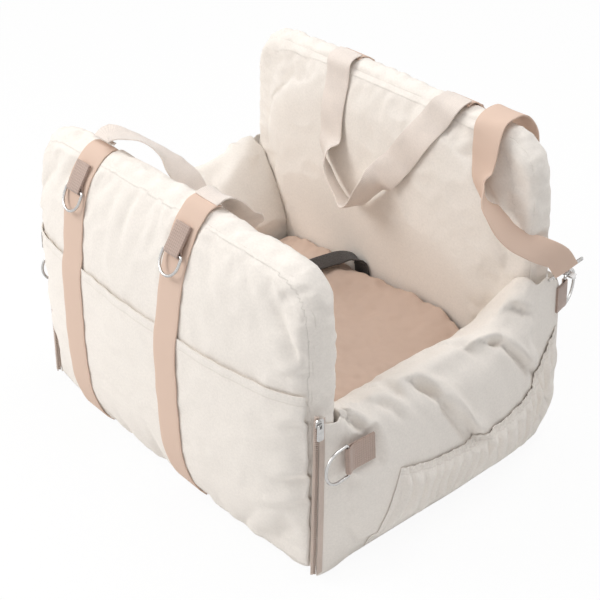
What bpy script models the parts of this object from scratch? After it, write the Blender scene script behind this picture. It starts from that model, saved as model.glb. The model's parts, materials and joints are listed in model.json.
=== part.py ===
"""A padded dog car seat: stuffed canvas walls, a plush cushion, webbing, rings, zips and a strap.

The seat stands on the XY plane. X runs along its width, the front panel faces -Y and the
backrest stands at +Y. All lengths are metres.
"""
import math

import bmesh
import bpy
from mathutils import Matrix, Vector

# Whole seat
SEAT_WIDTH = 0.530            # between the seams of the two side panels
SEAT_DEPTH = 0.414            # from the front panel's lower seam to the rear of the wrap
FRONT_HEIGHT = 0.368
BACK_HEIGHT = 0.398
SIDE_HEIGHT = 0.212           # top hem of the side panels
BOLSTER_RISE = 0.012          # from that hem to the top of a bolster's ridge
CLEARANCE = 0.0004            # between neighbours that touch
FOLD_CLEARANCE = 0.0007       # between the folding panel and what stands beside it

# Base
SHEET_THICKNESS = 0.0015
BASE_CORNER = 0.030
BOARD_THICKNESS = 0.008
FOAM_HEIGHT = 0.050
SEAM_INSET = 0.002            # the non-slip sheet ends this far inside the walls' seams

# Cabin and bolsters
CABIN_HALF = 0.185            # from the middle to a bolster's foot
SLOPE_START = 0.120           # height where a bolster begins to lean outwards
RIDGE_HALF = 0.249            # from the middle to the inner edge of a bolster's ridge
BOLSTER_CROWN = 0.009
BOLSTER_SLACK = 0.0012        # between a bolster and its side panel
WINDOW_MARGIN = 0.003         # a wall's inner crown ends this far inside the bolsters
RIM_MARGIN = 0.020            # and at least this far inside the wall's own edge

# Front panel
FRONT_GUSSET = 0.040
FRONT_LEAN = 0.030            # how far its top stands behind its foot
FRONT_OUTER_CROWN = 0.032
FRONT_INNER_CROWN = 0.018
FRONT_CORNER = 0.052          # radius of its top corners
TOP_ROLL = 0.008              # how far a gusset bulges along the top

# Backrest
BACK_GUSSET = 0.038
BACK_SETBACK = 0.076          # from the rear of the wrap to its inner face at floor level
BACK_LEAN = 0.019
BACK_INNER_CROWN = 0.016
BACK_OUTER_CROWN = 0.020
BACK_CORNER = 0.060           # radius of its top corners
BACK_FOOT_HALF = 0.258
BACK_TOP_HALF = 0.250

# Side panels
PANEL_THICKNESS = 0.002
SIDE_CROWN = 0.016
WRAP_RADIUS = 0.040
SIDE_FRONT_SETBACK = 0.006    # zip edge of a side panel behind the front seam

# Covers
COVER_THICKNESS = 0.0014
FILLING_CLEARANCE = 0.0008
MOUTH_LENGTH = 0.120          # opening in a cover that its filling goes through
MOUTH_WIDTH = 0.008
CUT_OVERRUN = 0.003

# Seat cushion
CUSHION_TOP = 0.126
CUSHION_CROWN = 0.011
CUSHION_SEAM = 0.034          # height of its side seam above its underside
CUSHION_DRAWN_IN = 0.006
CUSHION_CLEARANCE = 0.0025
CUSHION_CORNER = 0.016

# Webbing
STRAP_WIDTH = 0.040
STRAP_THICKNESS = 0.0016
FRONT_STRAP_PLACES = (-0.140, 0.058)
BACK_STRAP_PLACES = (-0.074, 0.113)
FRONT_HANDLE_DROP = 0.105
BACK_HANDLE_DROP = 0.165
HANDLE_STANDOFF = 0.004
HANDLE_SPLIT = 0.0004         # from a handle's hinge line to the end of its webbing
CROWN_STANDOFF = 0.0015       # between the webbing and the top of a wall
STRAP_STANDOFF = 0.0008       # between the sewn webbing and the cover
STRAP_FOOT = 0.010            # lower end of the sewn straps above the floor

# Rings on the front panel and on the backrest
SMALL_RING_WIDTH = 0.029      # inside
SMALL_RING_DEPTH = 0.026      # from the bar's axis to the middle of the arc
SMALL_RING_WIRE = 0.0034
SMALL_TAB_WIDTH = 0.025
SMALL_TAB_LENGTH = 0.034
SMALL_TAB_DROP = 0.040        # from the panel's top to the ring's bar
SMALL_RING_TURN = 6.0         # how far a hanging ring stands off, in degrees
SIDE_RING_TURN = 8.0
REAR_RING_TURN = 8.0

# Rings on the sides
SIDE_RING_WIDTH = 0.037
SIDE_RING_DEPTH = 0.034
SIDE_RING_WIRE = 0.0036
SIDE_TAB_WIDTH = 0.034
SIDE_TAB_LENGTH = 0.038
SIDE_TAB_HEIGHT = 0.154
SIDE_TAB_SETBACK = 0.036      # ring bar behind the front seam
REAR_TAB_DROP = 0.018         # from the side panels' top hem to the middle of a rear tab
REAR_TAB_LENGTH = 0.022
REAR_TAB_ANGLE = 30.0         # where on the rear corner it is sewn, in degrees
TAB_THICKNESS = 0.0014
TAB_SLACK = 0.0004            # between a tab and its ring's bar

# Front patch pocket
POCKET_TOP = 0.241
POCKET_FOOT = 0.016
POCKET_SIDE_MARGIN = 0.014
POCKET_THICKNESS = 0.0012
POCKET_SLACK = 0.009

# Gathered pocket on each side
BAG_FRONT = 0.076             # front end of its foot behind the front seam of the seat
BAG_RAKE = 0.040              # front end of its hem behind that
BAG_FOOT = 0.010
BAG_HEM = 0.092               # lowest part of its hem above the floor
BAG_FRONT_RISE = 0.023
BAG_REAR_RISE = 0.045
BAG_SLACK = 0.014
BAG_STANDOFF = 0.0008
BAG_THICKNESS = 0.0014
BAG_REAR_ANGLE = 18.0         # how far round the rear corner it reaches, in degrees
HEM_WIDTH = 0.007
HEM_THICKNESS = 0.0026

# Zips
ZIP_FOOT = 0.010
ZIP_RISE = 0.006              # from the side panels' top hem to the head of a zip
ZIP_BEAD = 0.0022             # a row of teeth, front to back
ZIP_BEAD_WIDTH = 0.0034       # and across
ZIP_GAP = 0.0005
ZIP_TAPE = 0.0008
ZIP_TAPE_WIDTH = 0.010
ZIP_TAPE_LIFT = 0.0014        # from the side panel to its zip's tape
SLIDER_LENGTH = 0.012
SLIDER_WIDTH = 0.010
SLIDER_THICKNESS = 0.0016
SLIDER_LIFT = 0.0024          # from the teeth's outer side to the slider
SLIDER_TRAVEL = 0.190
BAIL_WIRE = 0.0013
BAIL_LENGTH = 0.0076
BAIL_HEIGHT = 0.0036
PULL_LENGTH = 0.021
PULL_WIDTH = 0.009
PULL_THICKNESS = 0.0010
PULL_BAR = 0.0012
PULL_SLOT = 0.0050
PULL_SLOT_WIDTH = 0.0032
PULL_LIFT = 0.0009            # from the slider to the middle of its pull

# Snap hooks
HOOK_WIRE = 0.0042
HOOK_BIGHT = 0.0096           # radius of the bight at the wire's axis
HEAD_START = 0.009            # from the middle of the swivel
HEAD_LENGTH = 0.006
HEAD_DEPTH = 0.0056
BIGHT_LEG = 0.014             # from the head to the middle of the bight
TIP_LENGTH = 0.003
GATE_WIRE = 0.0026
GATE_GAP = 0.0005
GATE_ROOT = 0.004             # of the gate, inside the head
SWIVEL_RADIUS = 0.0046
SWIVEL_LENGTH = 0.007
SWIVEL_GAP = 0.0004
STUD_RADIUS = 0.0034
STUD_LENGTH = 0.0016
LOOP_WIRE = 0.0030
LOOP_DEPTH = 0.0125
LOOP_SLACK = 0.001            # between a strap's edge and its loop
SEWN_TAIL = 0.022
CLIP_SLACK = 0.0032           # between a hook's bight and the ring that it holds

# Shoulder strap and tether
TETHER_WIDTH = 0.028
TETHER_THICKNESS = 0.002

# Shares and counts
CROWN_POWER = 2.6
CROWN_FULLNESS = 0.7
WINDOW_SHARE = 0.84           # the part of a wall's cuts that its inner crown takes
WIDE_CUT_SHARES = (-WINDOW_SHARE, -0.75, -0.55, -0.28, 0.0, 0.28, 0.55, 0.75, WINDOW_SHARE)
THIN_CUT_SHARES = (0.0,)
UPPER_CUT_SHARES = (0.38, 0.72, 0.9)
SIDE_PANEL_ROWS = 6
HEM_LOW_SHARE = 0.3           # where along a side pocket its hem is lowest

CREAM = (0.90, 0.86, 0.81)
TAN = (0.72, 0.54, 0.44)
PLUSH = (0.66, 0.50, 0.41)
CHARCOAL = (0.07, 0.06, 0.055)
STEEL = (0.72, 0.71, 0.70)
FILLING = (0.95, 0.95, 0.93)
FOAM = (0.80, 0.80, 0.78)
BOARD = (0.25, 0.25, 0.26)

FRONT_SEAM = -SEAT_DEPTH / 2
SIDE_SEAM = SEAT_WIDTH / 2
BACK_FOOT = SEAT_DEPTH / 2 - BACK_SETBACK
BOLSTER_HEIGHT = SIDE_HEIGHT + BOLSTER_RISE
ZIP_HEAD = SIDE_HEIGHT + ZIP_RISE
REAR_TAB_HEIGHT = SIDE_HEIGHT - REAR_TAB_DROP
FLOOR_TOP = SHEET_THICKNESS + CLEARANCE


def mix(start, end, share):
    """The value that lies the given share of the way from start to end."""
    return start + (end - start) * share


def clamp(value, low, high):
    """The value, held between two limits."""
    return max(low, min(high, value))


def puff(across, up):
    """How far a stuffed wall swells, from 0 at its seams to 1 in its middle."""
    side = max(0.0, 1 - abs(across) ** CROWN_POWER)
    height = max(0.0, 1 - abs(up) ** CROWN_POWER)
    return (side * height) ** CROWN_FULLNESS


def up_share(z, height):
    """Where a height lies between the foot and the top of a wall, from -1 to 1."""
    return clamp(2 * (z - FLOOR_TOP) / (height - FLOOR_TOP) - 1, -1.0, 1.0)


def cabin_half(z):
    """Half the cabin's width between the bolsters at a height."""
    share = clamp((z - SLOPE_START) / (BOLSTER_HEIGHT - SLOPE_START), 0.0, 1.0)
    swell = BOLSTER_CROWN * math.sin(math.pi * share)
    return mix(CABIN_HALF, RIDGE_HALF, share) - swell


def front_seam_y(z):
    """The front panel's outer seam at a height."""
    return FRONT_SEAM + FRONT_LEAN * (z - FLOOR_TOP) / (FRONT_HEIGHT - FLOOR_TOP)


def front_half(_z):
    """Half the front panel's width between the side panels, the same at every height."""
    return SIDE_SEAM - PANEL_THICKNESS - FOLD_CLEARANCE


def window_half(z, half):
    """Half the width of a wall's inner crown at a height, between the bolsters."""
    return min(cabin_half(z) - WINDOW_MARGIN, half(z) - RIM_MARGIN)


def wall_cuts(height):
    """Where a wall is sliced, so that its points follow the bolsters' outline."""
    middle = mix(SLOPE_START, BOLSTER_HEIGHT, 0.5)
    levels = [SLOPE_START / 5, SLOPE_START / 2, SLOPE_START, middle, BOLSTER_HEIGHT]
    levels += [mix(BOLSTER_HEIGHT, height, share) for share in UPPER_CUT_SHARES]
    return (WIDE_CUT_SHARES, THIN_CUT_SHARES, [up_share(z, height) for z in levels])


def front_outer(x, z):
    """The front panel's outer face."""
    swell = puff(x / front_half(z), up_share(z, FRONT_HEIGHT))
    return front_seam_y(z) - FRONT_OUTER_CROWN * swell


def front_inner(x, z):
    """The front panel's inner face, which is flat where the bolsters stand against it."""
    swell = puff(min(1.0, abs(x) / window_half(z, front_half)), up_share(z, FRONT_HEIGHT))
    return front_seam_y(z) + FRONT_GUSSET + FRONT_INNER_CROWN * swell


def back_seam_y(z):
    """The backrest's inner seam at a height."""
    return BACK_FOOT + BACK_LEAN * (z - FLOOR_TOP) / (BACK_HEIGHT - FLOOR_TOP)


def back_half(z):
    """Half the backrest's width at a height."""
    return mix(BACK_FOOT_HALF, BACK_TOP_HALF, (up_share(z, BACK_HEIGHT) + 1) / 2)


def back_inner(x, z):
    """The backrest's inner face, which is flat where the bolsters stand against it."""
    swell = puff(min(1.0, abs(x) / window_half(z, back_half)), up_share(z, BACK_HEIGHT))
    return back_seam_y(z) - BACK_INNER_CROWN * swell


def back_outer(x, z):
    """The backrest's rear face."""
    swell = puff(x / back_half(z), up_share(z, BACK_HEIGHT))
    return back_seam_y(z) + BACK_GUSSET + BACK_OUTER_CROWN * swell


def side_outer(y, z):
    """The outer face of the right side panel, before its rear corner."""
    front = front_seam_y(z) + SIDE_FRONT_SETBACK
    rear = SEAT_DEPTH / 2 - WRAP_RADIUS
    along = clamp(2 * (y - front) / (rear - front) - 1, -1.0, 1.0)
    up = clamp((z - FLOOR_TOP) / (SIDE_HEIGHT - FLOOR_TOP), 0.0, 1.0)
    fullest_share = 0.35
    foot_share = 0.6
    if up > fullest_share:
        profile = 1 - ((up - fullest_share) / (1 - fullest_share)) ** 2
    else:
        profile = 1 - (1 - foot_share) * ((fullest_share - up) / fullest_share) ** 2
    return SIDE_SEAM + SIDE_CROWN * profile * (1 - along ** 4)


def make_material(name, color, roughness, metallic=0.0):
    """A plain finish for one sub-part."""
    material = bpy.data.materials.new(name)
    material.use_nodes = True
    shader = material.node_tree.nodes["Principled BSDF"]
    shader.inputs["Base Color"].default_value = (*color, 1.0)
    shader.inputs["Roughness"].default_value = roughness
    shader.inputs["Metallic"].default_value = metallic
    return material


def clear_scene():
    """Empty the file and make the two collections."""
    for item in list(bpy.data.objects):
        bpy.data.objects.remove(item, do_unlink=True)
    for name in ("dog_car_seat", "cutters"):
        collection = bpy.data.collections.new(name)
        bpy.context.scene.collection.children.link(collection)


def link(item, finish):
    """Put a finished object among the seat's parts, in its own material."""
    color, roughness, metallic = finish
    item.data.materials.append(make_material(item.name + "_finish", color, roughness, metallic))
    bpy.data.collections["dog_car_seat"].objects.link(item)
    return item


CANVAS_FINISH = (CREAM, 0.9, 0.0)
WEBBING_FINISH = (TAN, 0.55, 0.0)
PLUSH_FINISH = (PLUSH, 1.0, 0.0)
TETHER_FINISH = (CHARCOAL, 0.8, 0.0)
METAL_FINISH = (STEEL, 0.25, 1.0)
FILLING_FINISH = (FILLING, 1.0, 0.0)
FOAM_FINISH = (FOAM, 0.95, 0.0)
BOARD_FINISH = (BOARD, 0.6, 0.0)


def mesh_object(name, bm, finish, smooth=True):
    """Turn a bmesh into one of the seat's parts."""
    mesh = bpy.data.meshes.new(name)
    bm.normal_update()
    bmesh.ops.recalc_face_normals(bm, faces=bm.faces)
    bm.to_mesh(mesh)
    bm.free()
    if smooth:
        mesh.shade_smooth()
    return link(bpy.data.objects.new(name, mesh), finish)


def sliced_cube(cuts):
    """A cube from -1 to 1, cut at the given shares along X, Y and Z."""
    bm = bmesh.new()
    bmesh.ops.create_cube(bm, size=2)
    for axis, shares in enumerate(cuts):
        normal = Vector((0, 0, 0))
        normal[axis] = 1
        for share in shares:
            bmesh.ops.bisect_plane(
                bm, geom=bm.verts[:] + bm.edges[:] + bm.faces[:],
                plane_co=normal * share, plane_no=normal)
    return bm


def soft_block(name, cuts, place, finish):
    """A closed soft form: a sliced cube whose points are moved by a function."""
    bm = sliced_cube(cuts)
    for vertex in bm.verts:
        vertex.co = place(*vertex.co)
    bmesh.ops.triangulate(bm, faces=bm.faces)
    return mesh_object(name, bm, finish)


def draw_in(item, inset):
    """Draw a closed form in all round: keep only the inner skin of a wall that thick."""
    solidify(item, inset, -1)
    bpy.context.view_layer.update()
    walled = item.evaluated_get(bpy.context.evaluated_depsgraph_get()).data
    count = len(item.data.vertices)
    inner = [vertex.co.copy() for vertex in walled.vertices[count:]]
    item.modifiers.clear()
    for vertex, place in zip(item.data.vertices, inner):
        vertex.co = place


def solidify(item, thickness, offset):
    """Give an open surface its thickness."""
    wall = item.modifiers.new("wall", "SOLIDIFY")
    wall.thickness = thickness
    wall.offset = offset
    wall.use_even_offset = True
    return item


def cutter_box(name, low, high):
    """A plain box that is only used to cut."""
    bm = bmesh.new()
    low, high = Vector(low), Vector(high)
    size = high - low
    place = Matrix.Translation((low + high) / 2) @ Matrix.Diagonal((*size, 1))
    bmesh.ops.create_cube(bm, size=1, matrix=place)
    mesh = bpy.data.meshes.new(name)
    bm.to_mesh(mesh)
    bm.free()
    cutter = bpy.data.objects.new(name, mesh)
    hide_tool(cutter)
    return cutter


def hide_tool(cutter):
    """Keep a cutter or a guide out of the finished seat."""
    bpy.data.collections["cutters"].objects.link(cutter)
    cutter.hide_render = True
    cutter.display_type = "WIRE"


def boolean(item, tool, operation):
    """Cut or join one solid with another."""
    step = item.modifiers.new(operation.lower(), "BOOLEAN")
    step.operation = operation
    step.object = tool
    step.solver = "EXACT"


def stuffed(name, cuts, place, mouth_low, mouth_high, finish):
    """A stuffed form: a thin cover with a mouth, and the filling that goes in through it."""
    cover = soft_block(name.format("cover"), cuts, place, finish)
    solidify(cover, COVER_THICKNESS, -1)
    mouth = cutter_box(name.format("mouth"), mouth_low, mouth_high)
    boolean(cover, mouth, "DIFFERENCE")
    filling = soft_block(name.format("filling"), cuts, place, FILLING_FINISH)
    draw_in(filling, COVER_THICKNESS + FILLING_CLEARANCE)


def ribbon(name, centres, acrosses, width, thickness, finish):
    """A flat strap: a strip along the centres, with its width along each across vector."""
    bm = bmesh.new()
    half = width / 2
    first = [bm.verts.new(point - across * half) for point, across in zip(centres, acrosses)]
    edges = [bm.edges.new(pair) for pair in zip(first, first[1:])]
    grown = bmesh.ops.extrude_edge_only(bm, edges=edges)["geom"]
    second = [item for item in grown if isinstance(item, bmesh.types.BMVert)]
    for vertex in second:
        nearest = min(range(len(first)), key=lambda i: (first[i].co - vertex.co).length)
        vertex.co = centres[nearest] + acrosses[nearest] * half
    strap = mesh_object(name, bm, finish)
    return solidify(strap, thickness, 0)


def squared(centres, acrosses):
    """Turn each across vector square to the strap's own run."""
    turned = []
    for index, across in enumerate(acrosses):
        before = centres[max(0, index - 1)]
        after = centres[min(len(centres) - 1, index + 1)]
        run = (after - before).normalized()
        turned.append((across - run * across.dot(run)).normalized())
    return turned


def curve_mesh(name, curve, finish, merge_distance, place=None, smooth=True):
    """Turn a curve into one of the seat's parts, as a closed mesh."""
    item = bpy.data.objects.new(name, curve)
    bpy.data.collections["cutters"].objects.link(item)
    bpy.context.view_layer.update()
    graph = bpy.context.evaluated_depsgraph_get()
    mesh = bpy.data.meshes.new_from_object(item.evaluated_get(graph))
    bpy.data.objects.remove(item)
    bpy.data.curves.remove(curve)
    bm = bmesh.new()
    bm.from_mesh(mesh)
    bpy.data.meshes.remove(mesh)
    bmesh.ops.remove_doubles(bm, verts=bm.verts, dist=merge_distance)
    body = mesh_object(name, bm, finish, smooth)
    if place is not None:
        body.matrix_world = place
    return body


def wire(name, points, diameter, finish, cyclic=False, place=None):
    """A round wire along points, as a mesh with closed ends."""
    curve = bpy.data.curves.new(name, "CURVE")
    curve.dimensions = "3D"
    curve.bevel_depth = diameter / 2
    curve.bevel_resolution = 1
    curve.use_fill_caps = True
    spline = curve.splines.new("POLY")
    spline.points.add(len(points) - 1)
    for target, point in zip(spline.points, points):
        target.co = (*point, 1)
    spline.use_cyclic_u = cyclic
    return curve_mesh(name, curve, finish, diameter / 1000, place)


def plate(name, outline, thickness, finish, place, hole=None):
    """A flat plate: a filled outline in its own XY plane, centred on that plane."""
    curve = bpy.data.curves.new(name, "CURVE")
    curve.dimensions = "2D"
    curve.fill_mode = "BOTH"
    curve.extrude = thickness / 2
    for points in filter(None, (outline, hole)):
        spline = curve.splines.new("POLY")
        spline.points.add(len(points) - 1)
        for target, point in zip(spline.points, points):
            target.co = (*point, 0, 1)
        spline.use_cyclic_u = True
    return curve_mesh(name, curve, finish, thickness / 1000, place, smooth=False)


def rounded_outline(width, height, radius, steps=3):
    """The corners of a rectangle with rounded corners, centred on the origin."""
    points = []
    for quarter in range(4):
        sign_x = 1 if quarter in (0, 3) else -1
        sign_y = 1 if quarter in (0, 1) else -1
        centre = (sign_x * (width / 2 - radius), sign_y * (height / 2 - radius))
        for step in range(steps + 1):
            angle = math.radians(90 * (quarter + step / steps))
            points.append((centre[0] + radius * math.cos(angle),
                           centre[1] + radius * math.sin(angle)))
    return points


def frame(origin, x_axis, y_axis):
    """A placing matrix from an origin and two axes that are square to each other."""
    x_axis = Vector(x_axis).normalized()
    y_axis = Vector(y_axis)
    y_axis = (y_axis - x_axis * y_axis.dot(x_axis)).normalized()
    z_axis = x_axis.cross(y_axis)
    turn = Matrix((x_axis, y_axis, z_axis)).transposed().to_4x4()
    return Matrix.Translation(origin) @ turn


def build_base():
    """The non-slip sheet, the stiffening board and the foam block under the cushion."""
    width = SEAT_WIDTH - 2 * SEAM_INSET
    depth = SEAT_DEPTH - 2 * SEAM_INSET
    sheet_place = Matrix.Translation((0, 0, SHEET_THICKNESS / 2))
    plate("nonslip_sheet", rounded_outline(width, depth, BASE_CORNER), SHEET_THICKNESS,
          BOARD_FINISH, sheet_place)
    front = FRONT_SEAM + FRONT_GUSSET + FRONT_INNER_CROWN + FRONT_LEAN / 2
    back = BACK_FOOT - BACK_INNER_CROWN
    inner_width = 2 * (CABIN_HALF - FOLD_CLEARANCE)
    inner_depth = back - front
    middle = (front + back) / 2
    board_bottom = FLOOR_TOP
    board_corner = BASE_CORNER / 2
    outline = rounded_outline(inner_width, inner_depth, board_corner)
    board_place = Matrix.Translation((0, middle, board_bottom + BOARD_THICKNESS / 2))
    plate("base_board", outline, BOARD_THICKNESS, BOARD_FINISH, board_place)
    foam_bottom = board_bottom + BOARD_THICKNESS + CLEARANCE
    foam_place = Matrix.Translation((0, middle, foam_bottom + FOAM_HEIGHT / 2))
    plate("foam_block", outline, FOAM_HEIGHT, FOAM_FINISH, foam_place)
    return foam_bottom + FOAM_HEIGHT + CLEARANCE


def wall_place(half, height, outer, inner, corner):
    """The function that shapes a standing wall."""
    def place(u, v, w):
        z = mix(FLOOR_TOP, height, (w + 1) / 2)
        window = window_half(z, half)
        beyond = (abs(u) - WINDOW_SHARE) / (1 - WINDOW_SHARE)
        if beyond < 0:
            x = window * u / WINDOW_SHARE
        else:
            x = math.copysign(mix(window, half(z), beyond), u)
        y = mix(outer(x, z), inner(x, z), (v + 1) / 2)
        roll = TOP_ROLL * (1 - v * v) * max(0.0, w) ** 9 * (1 - abs(u) ** 7)
        side = max(0.0, (abs(x) - half(z) + corner) / corner)
        rise = max(0.0, (z - height + corner) / corner)
        x -= math.copysign(corner * side * (1 - math.sqrt(1 - rise ** 2 / 2)), u)
        z -= corner * rise * (1 - math.sqrt(1 - side ** 2 / 2))
        return Vector((x, y, z + roll))
    return place


def build_wall(name, height, shape, middle):
    """A stuffed wall that stands across the seat, with its mouth underneath."""
    low = (-MOUTH_LENGTH / 2, middle - MOUTH_WIDTH / 2, FLOOR_TOP - CUT_OVERRUN)
    high = (MOUTH_LENGTH / 2, middle + MOUTH_WIDTH / 2,
            FLOOR_TOP + COVER_THICKNESS + FILLING_CLEARANCE / 2)
    stuffed(name, wall_cuts(height), shape, low, high, CANVAS_FINISH)


def build_walls():
    """The stuffed front panel and the stuffed backrest."""
    front = wall_place(front_half, FRONT_HEIGHT, front_outer, front_inner, FRONT_CORNER)
    build_wall("front_panel_{}", FRONT_HEIGHT, front, FRONT_SEAM + FRONT_GUSSET / 2)
    back = wall_place(back_half, BACK_HEIGHT, back_outer, back_inner, BACK_CORNER)
    build_wall("backrest_{}", BACK_HEIGHT, back, BACK_FOOT + BACK_GUSSET / 2)


def side_sheet(name, side):
    """One outer side panel, from the zip to the back of the seat."""
    length_cuts = 14
    height_cuts = SIDE_PANEL_ROWS
    straight_share = 0.72
    end_y = SEAT_DEPTH / 2 - WRAP_RADIUS
    arc_centre = SIDE_SEAM - WRAP_RADIUS
    bm = bmesh.new()
    bmesh.ops.create_grid(bm, x_segments=length_cuts, y_segments=height_cuts, size=1)
    for vertex in bm.verts:
        along = (vertex.co.x + 1) / 2
        z = mix(FLOOR_TOP, SIDE_HEIGHT, (vertex.co.y + 1) / 2)
        if along <= straight_share:
            y = mix(front_seam_y(z) + SIDE_FRONT_SETBACK, end_y, along / straight_share)
            x = side_outer(y, z)
        else:
            angle = math.radians(90) * (along - straight_share) / (1 - straight_share)
            x = arc_centre + WRAP_RADIUS * math.cos(angle)
            y = end_y + WRAP_RADIUS * math.sin(angle)
        vertex.co = (side * x, y, z)
    sheet = mesh_object(name, bm, CANVAS_FINISH)
    inwards = -1 if (sheet.data.polygons[0].normal.x * side) > 0 else 1
    return solidify(sheet, PANEL_THICKNESS, inwards)


def bolster_place(side):
    """The function that shapes a bolster, between the cabin and a side panel."""
    def place(u, v, w):
        z = mix(FLOOR_TOP, BOLSTER_HEIGHT, (w + 1) / 2)
        front = front_seam_y(z) + FRONT_GUSSET + FOLD_CLEARANCE
        back = back_seam_y(z) - CLEARANCE
        y = mix(front, back, (v + 1) / 2)
        reach = side_outer(y, min(z, SIDE_HEIGHT)) - PANEL_THICKNESS - BOLSTER_SLACK
        ridge_share = clamp((z - SIDE_HEIGHT) / (BOLSTER_HEIGHT - SIDE_HEIGHT), 0.0, 1.0)
        reach -= ridge_share * BOLSTER_CROWN / 2
        return Vector((side * mix(cabin_half(z), reach, (u + 1) / 2), y, z))
    return place


def build_sides():
    """Both side panels, and both bolsters with their covers and fillings."""
    levels = (SLOPE_START / 5, SLOPE_START / 2, SLOPE_START,
              mix(SLOPE_START, BOLSTER_HEIGHT, 0.5), SIDE_HEIGHT)
    tall_shares = [up_share(z, BOLSTER_HEIGHT) for z in levels]
    long_shares = (-0.7, -0.35, 0.0, 0.35, 0.7)
    cuts = (THIN_CUT_SHARES, long_shares, tall_shares)
    middle = (CABIN_HALF + SIDE_SEAM) / 2
    for name, side in (("right", 1), ("left", -1)):
        side_sheet("side_panel_" + name, side)
        low = (side * middle - MOUTH_WIDTH / 2, -MOUTH_LENGTH / 2, FLOOR_TOP - CUT_OVERRUN)
        high = (side * middle + MOUTH_WIDTH / 2, MOUTH_LENGTH / 2,
                FLOOR_TOP + COVER_THICKNESS + FILLING_CLEARANCE / 2)
        stuffed("bolster_{}_" + name, cuts, bolster_place(side), low, high, CANVAS_FINISH)


def build_cushion(foot):
    """The plush seat cushion: cover and filling, crowned and drawn in at its sides."""
    top = CUSHION_TOP - CUSHION_CROWN / 2
    seam = foot + CUSHION_SEAM

    def place(u, v, w):
        z = mix(foot, top, (w + 1) / 2)
        drawn = CUSHION_DRAWN_IN * ((z - seam) / (top - foot)) ** 2
        level = max(z, seam)
        x = u * (CABIN_HALF - FOLD_CLEARANCE - drawn - CUSHION_CORNER * v ** 8)
        front = front_inner(x, level) + CUSHION_CLEARANCE + drawn
        back = back_inner(x, level) - CUSHION_CLEARANCE - drawn
        y = mix(front, back, (v + 1) / 2) - v * CUSHION_CORNER * u ** 8
        swell = CUSHION_CROWN * puff(u, v) * max(0.0, w) ** 3
        return Vector((x, y, z + swell))

    wide_shares = (-0.92, -0.65, -0.3, 0.0, 0.3, 0.65, 0.92)
    deep_shares = (-0.88, -0.5, 0.0, 0.5, 0.88)
    cuts = (wide_shares, deep_shares, (0.0, 0.7))
    low = (-MOUTH_LENGTH / 2, -MOUTH_WIDTH / 2, foot - CUT_OVERRUN)
    high = (MOUTH_LENGTH / 2, MOUTH_WIDTH / 2, foot + COVER_THICKNESS + FILLING_CLEARANCE / 2)
    stuffed("cushion_{}", cuts, place, low, high, PLUSH_FINISH)


def front_stand(x, z):
    """The face that the front's webbing lies on: the pocket, or the cover above it."""
    return pocket_face(x, z) - (POCKET_THICKNESS if z <= POCKET_TOP else 0.0)


def pocket_face(x, z):
    """The inner side of the patch pocket, which hangs a little slack between its seams."""
    face = front_outer(x, z) - STRAP_STANDOFF
    if z > POCKET_TOP:
        return face
    edge = front_half(z) - POCKET_SIDE_MARGIN
    seams = (-edge, *FRONT_STRAP_PLACES, edge)
    for left, right in zip(seams, seams[1:]):
        if left <= x <= right:
            share = (x - left) / (right - left)
            rise = (z - POCKET_FOOT) / (POCKET_TOP - POCKET_FOOT)
            return face - POCKET_SLACK * math.sin(math.pi * share) ** 2 * rise ** 2
    return face


def build_front_pocket():
    """The big patch pocket sewn over the front panel, open along its top."""
    columns = 18
    levels = [POCKET_FOOT, SLOPE_START / 5, SLOPE_START / 2, SLOPE_START,
              mix(SLOPE_START, BOLSTER_HEIGHT, 0.5), BOLSTER_HEIGHT]
    levels = [level for level in levels if level < POCKET_TOP - HEM_WIDTH] + [POCKET_TOP]
    edge = front_half(POCKET_TOP) - POCKET_SIDE_MARGIN
    bm = bmesh.new()
    bmesh.ops.create_grid(bm, x_segments=columns, y_segments=len(levels) - 1, size=1)
    for vertex in bm.verts:
        level = levels[round((vertex.co.y + 1) / 2 * (len(levels) - 1))]
        x = edge * vertex.co.x
        vertex.co = (x, pocket_face(x, level), level)
    pocket = mesh_object("front_pocket", bm, CANVAS_FINISH)
    forwards = 1 if pocket.data.polygons[0].normal.y < 0 else -1
    solidify(pocket, POCKET_THICKNESS, forwards)


def widest(place, face, z, pick):
    """Where a flat strap may lie on a swollen face: the farthest point under its width."""
    half = STRAP_WIDTH / 2
    return pick(face(place + half * share, z) for share in (-1.0, -0.5, 0.0, 0.5, 1.0))


def sewn_strap(name, place, face, sign, height, middle_y):
    """A strap sewn up the outside of a wall, ending on its top at the handle's hinge line."""
    levels = [STRAP_FOOT, SLOPE_START / 5, SLOPE_START / 2, SLOPE_START,
              mix(SLOPE_START, BOLSTER_HEIGHT, 0.5), BOLSTER_HEIGHT]
    if sign < 0:
        levels.append(POCKET_TOP)
    levels += [mix(BOLSTER_HEIGHT, height, share) for share in UPPER_CUT_SHARES]
    levels.sort()
    lift = STRAP_STANDOFF + STRAP_THICKNESS / 2
    pick = min if sign < 0 else max
    centres = [Vector((place, widest(place, face, z, pick) + sign * lift, z)) for z in levels]
    top = height + TOP_ROLL + CROWN_STANDOFF + STRAP_THICKNESS / 2
    seam_y = widest(place, face, height, pick) + sign * lift
    centres.append(Vector((place, seam_y, height)))
    centres.append(Vector((place, mix(seam_y, middle_y, 0.3), mix(height, top, 0.75))))
    centres.append(Vector((place, mix(seam_y, middle_y, 0.65), top)))
    centres.append(Vector((place, middle_y + sign * HANDLE_SPLIT, top)))
    acrosses = [Vector((1, 0, 0))] * len(centres)
    ribbon(name, centres, acrosses, STRAP_WIDTH, STRAP_THICKNESS, WEBBING_FINISH)


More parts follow.
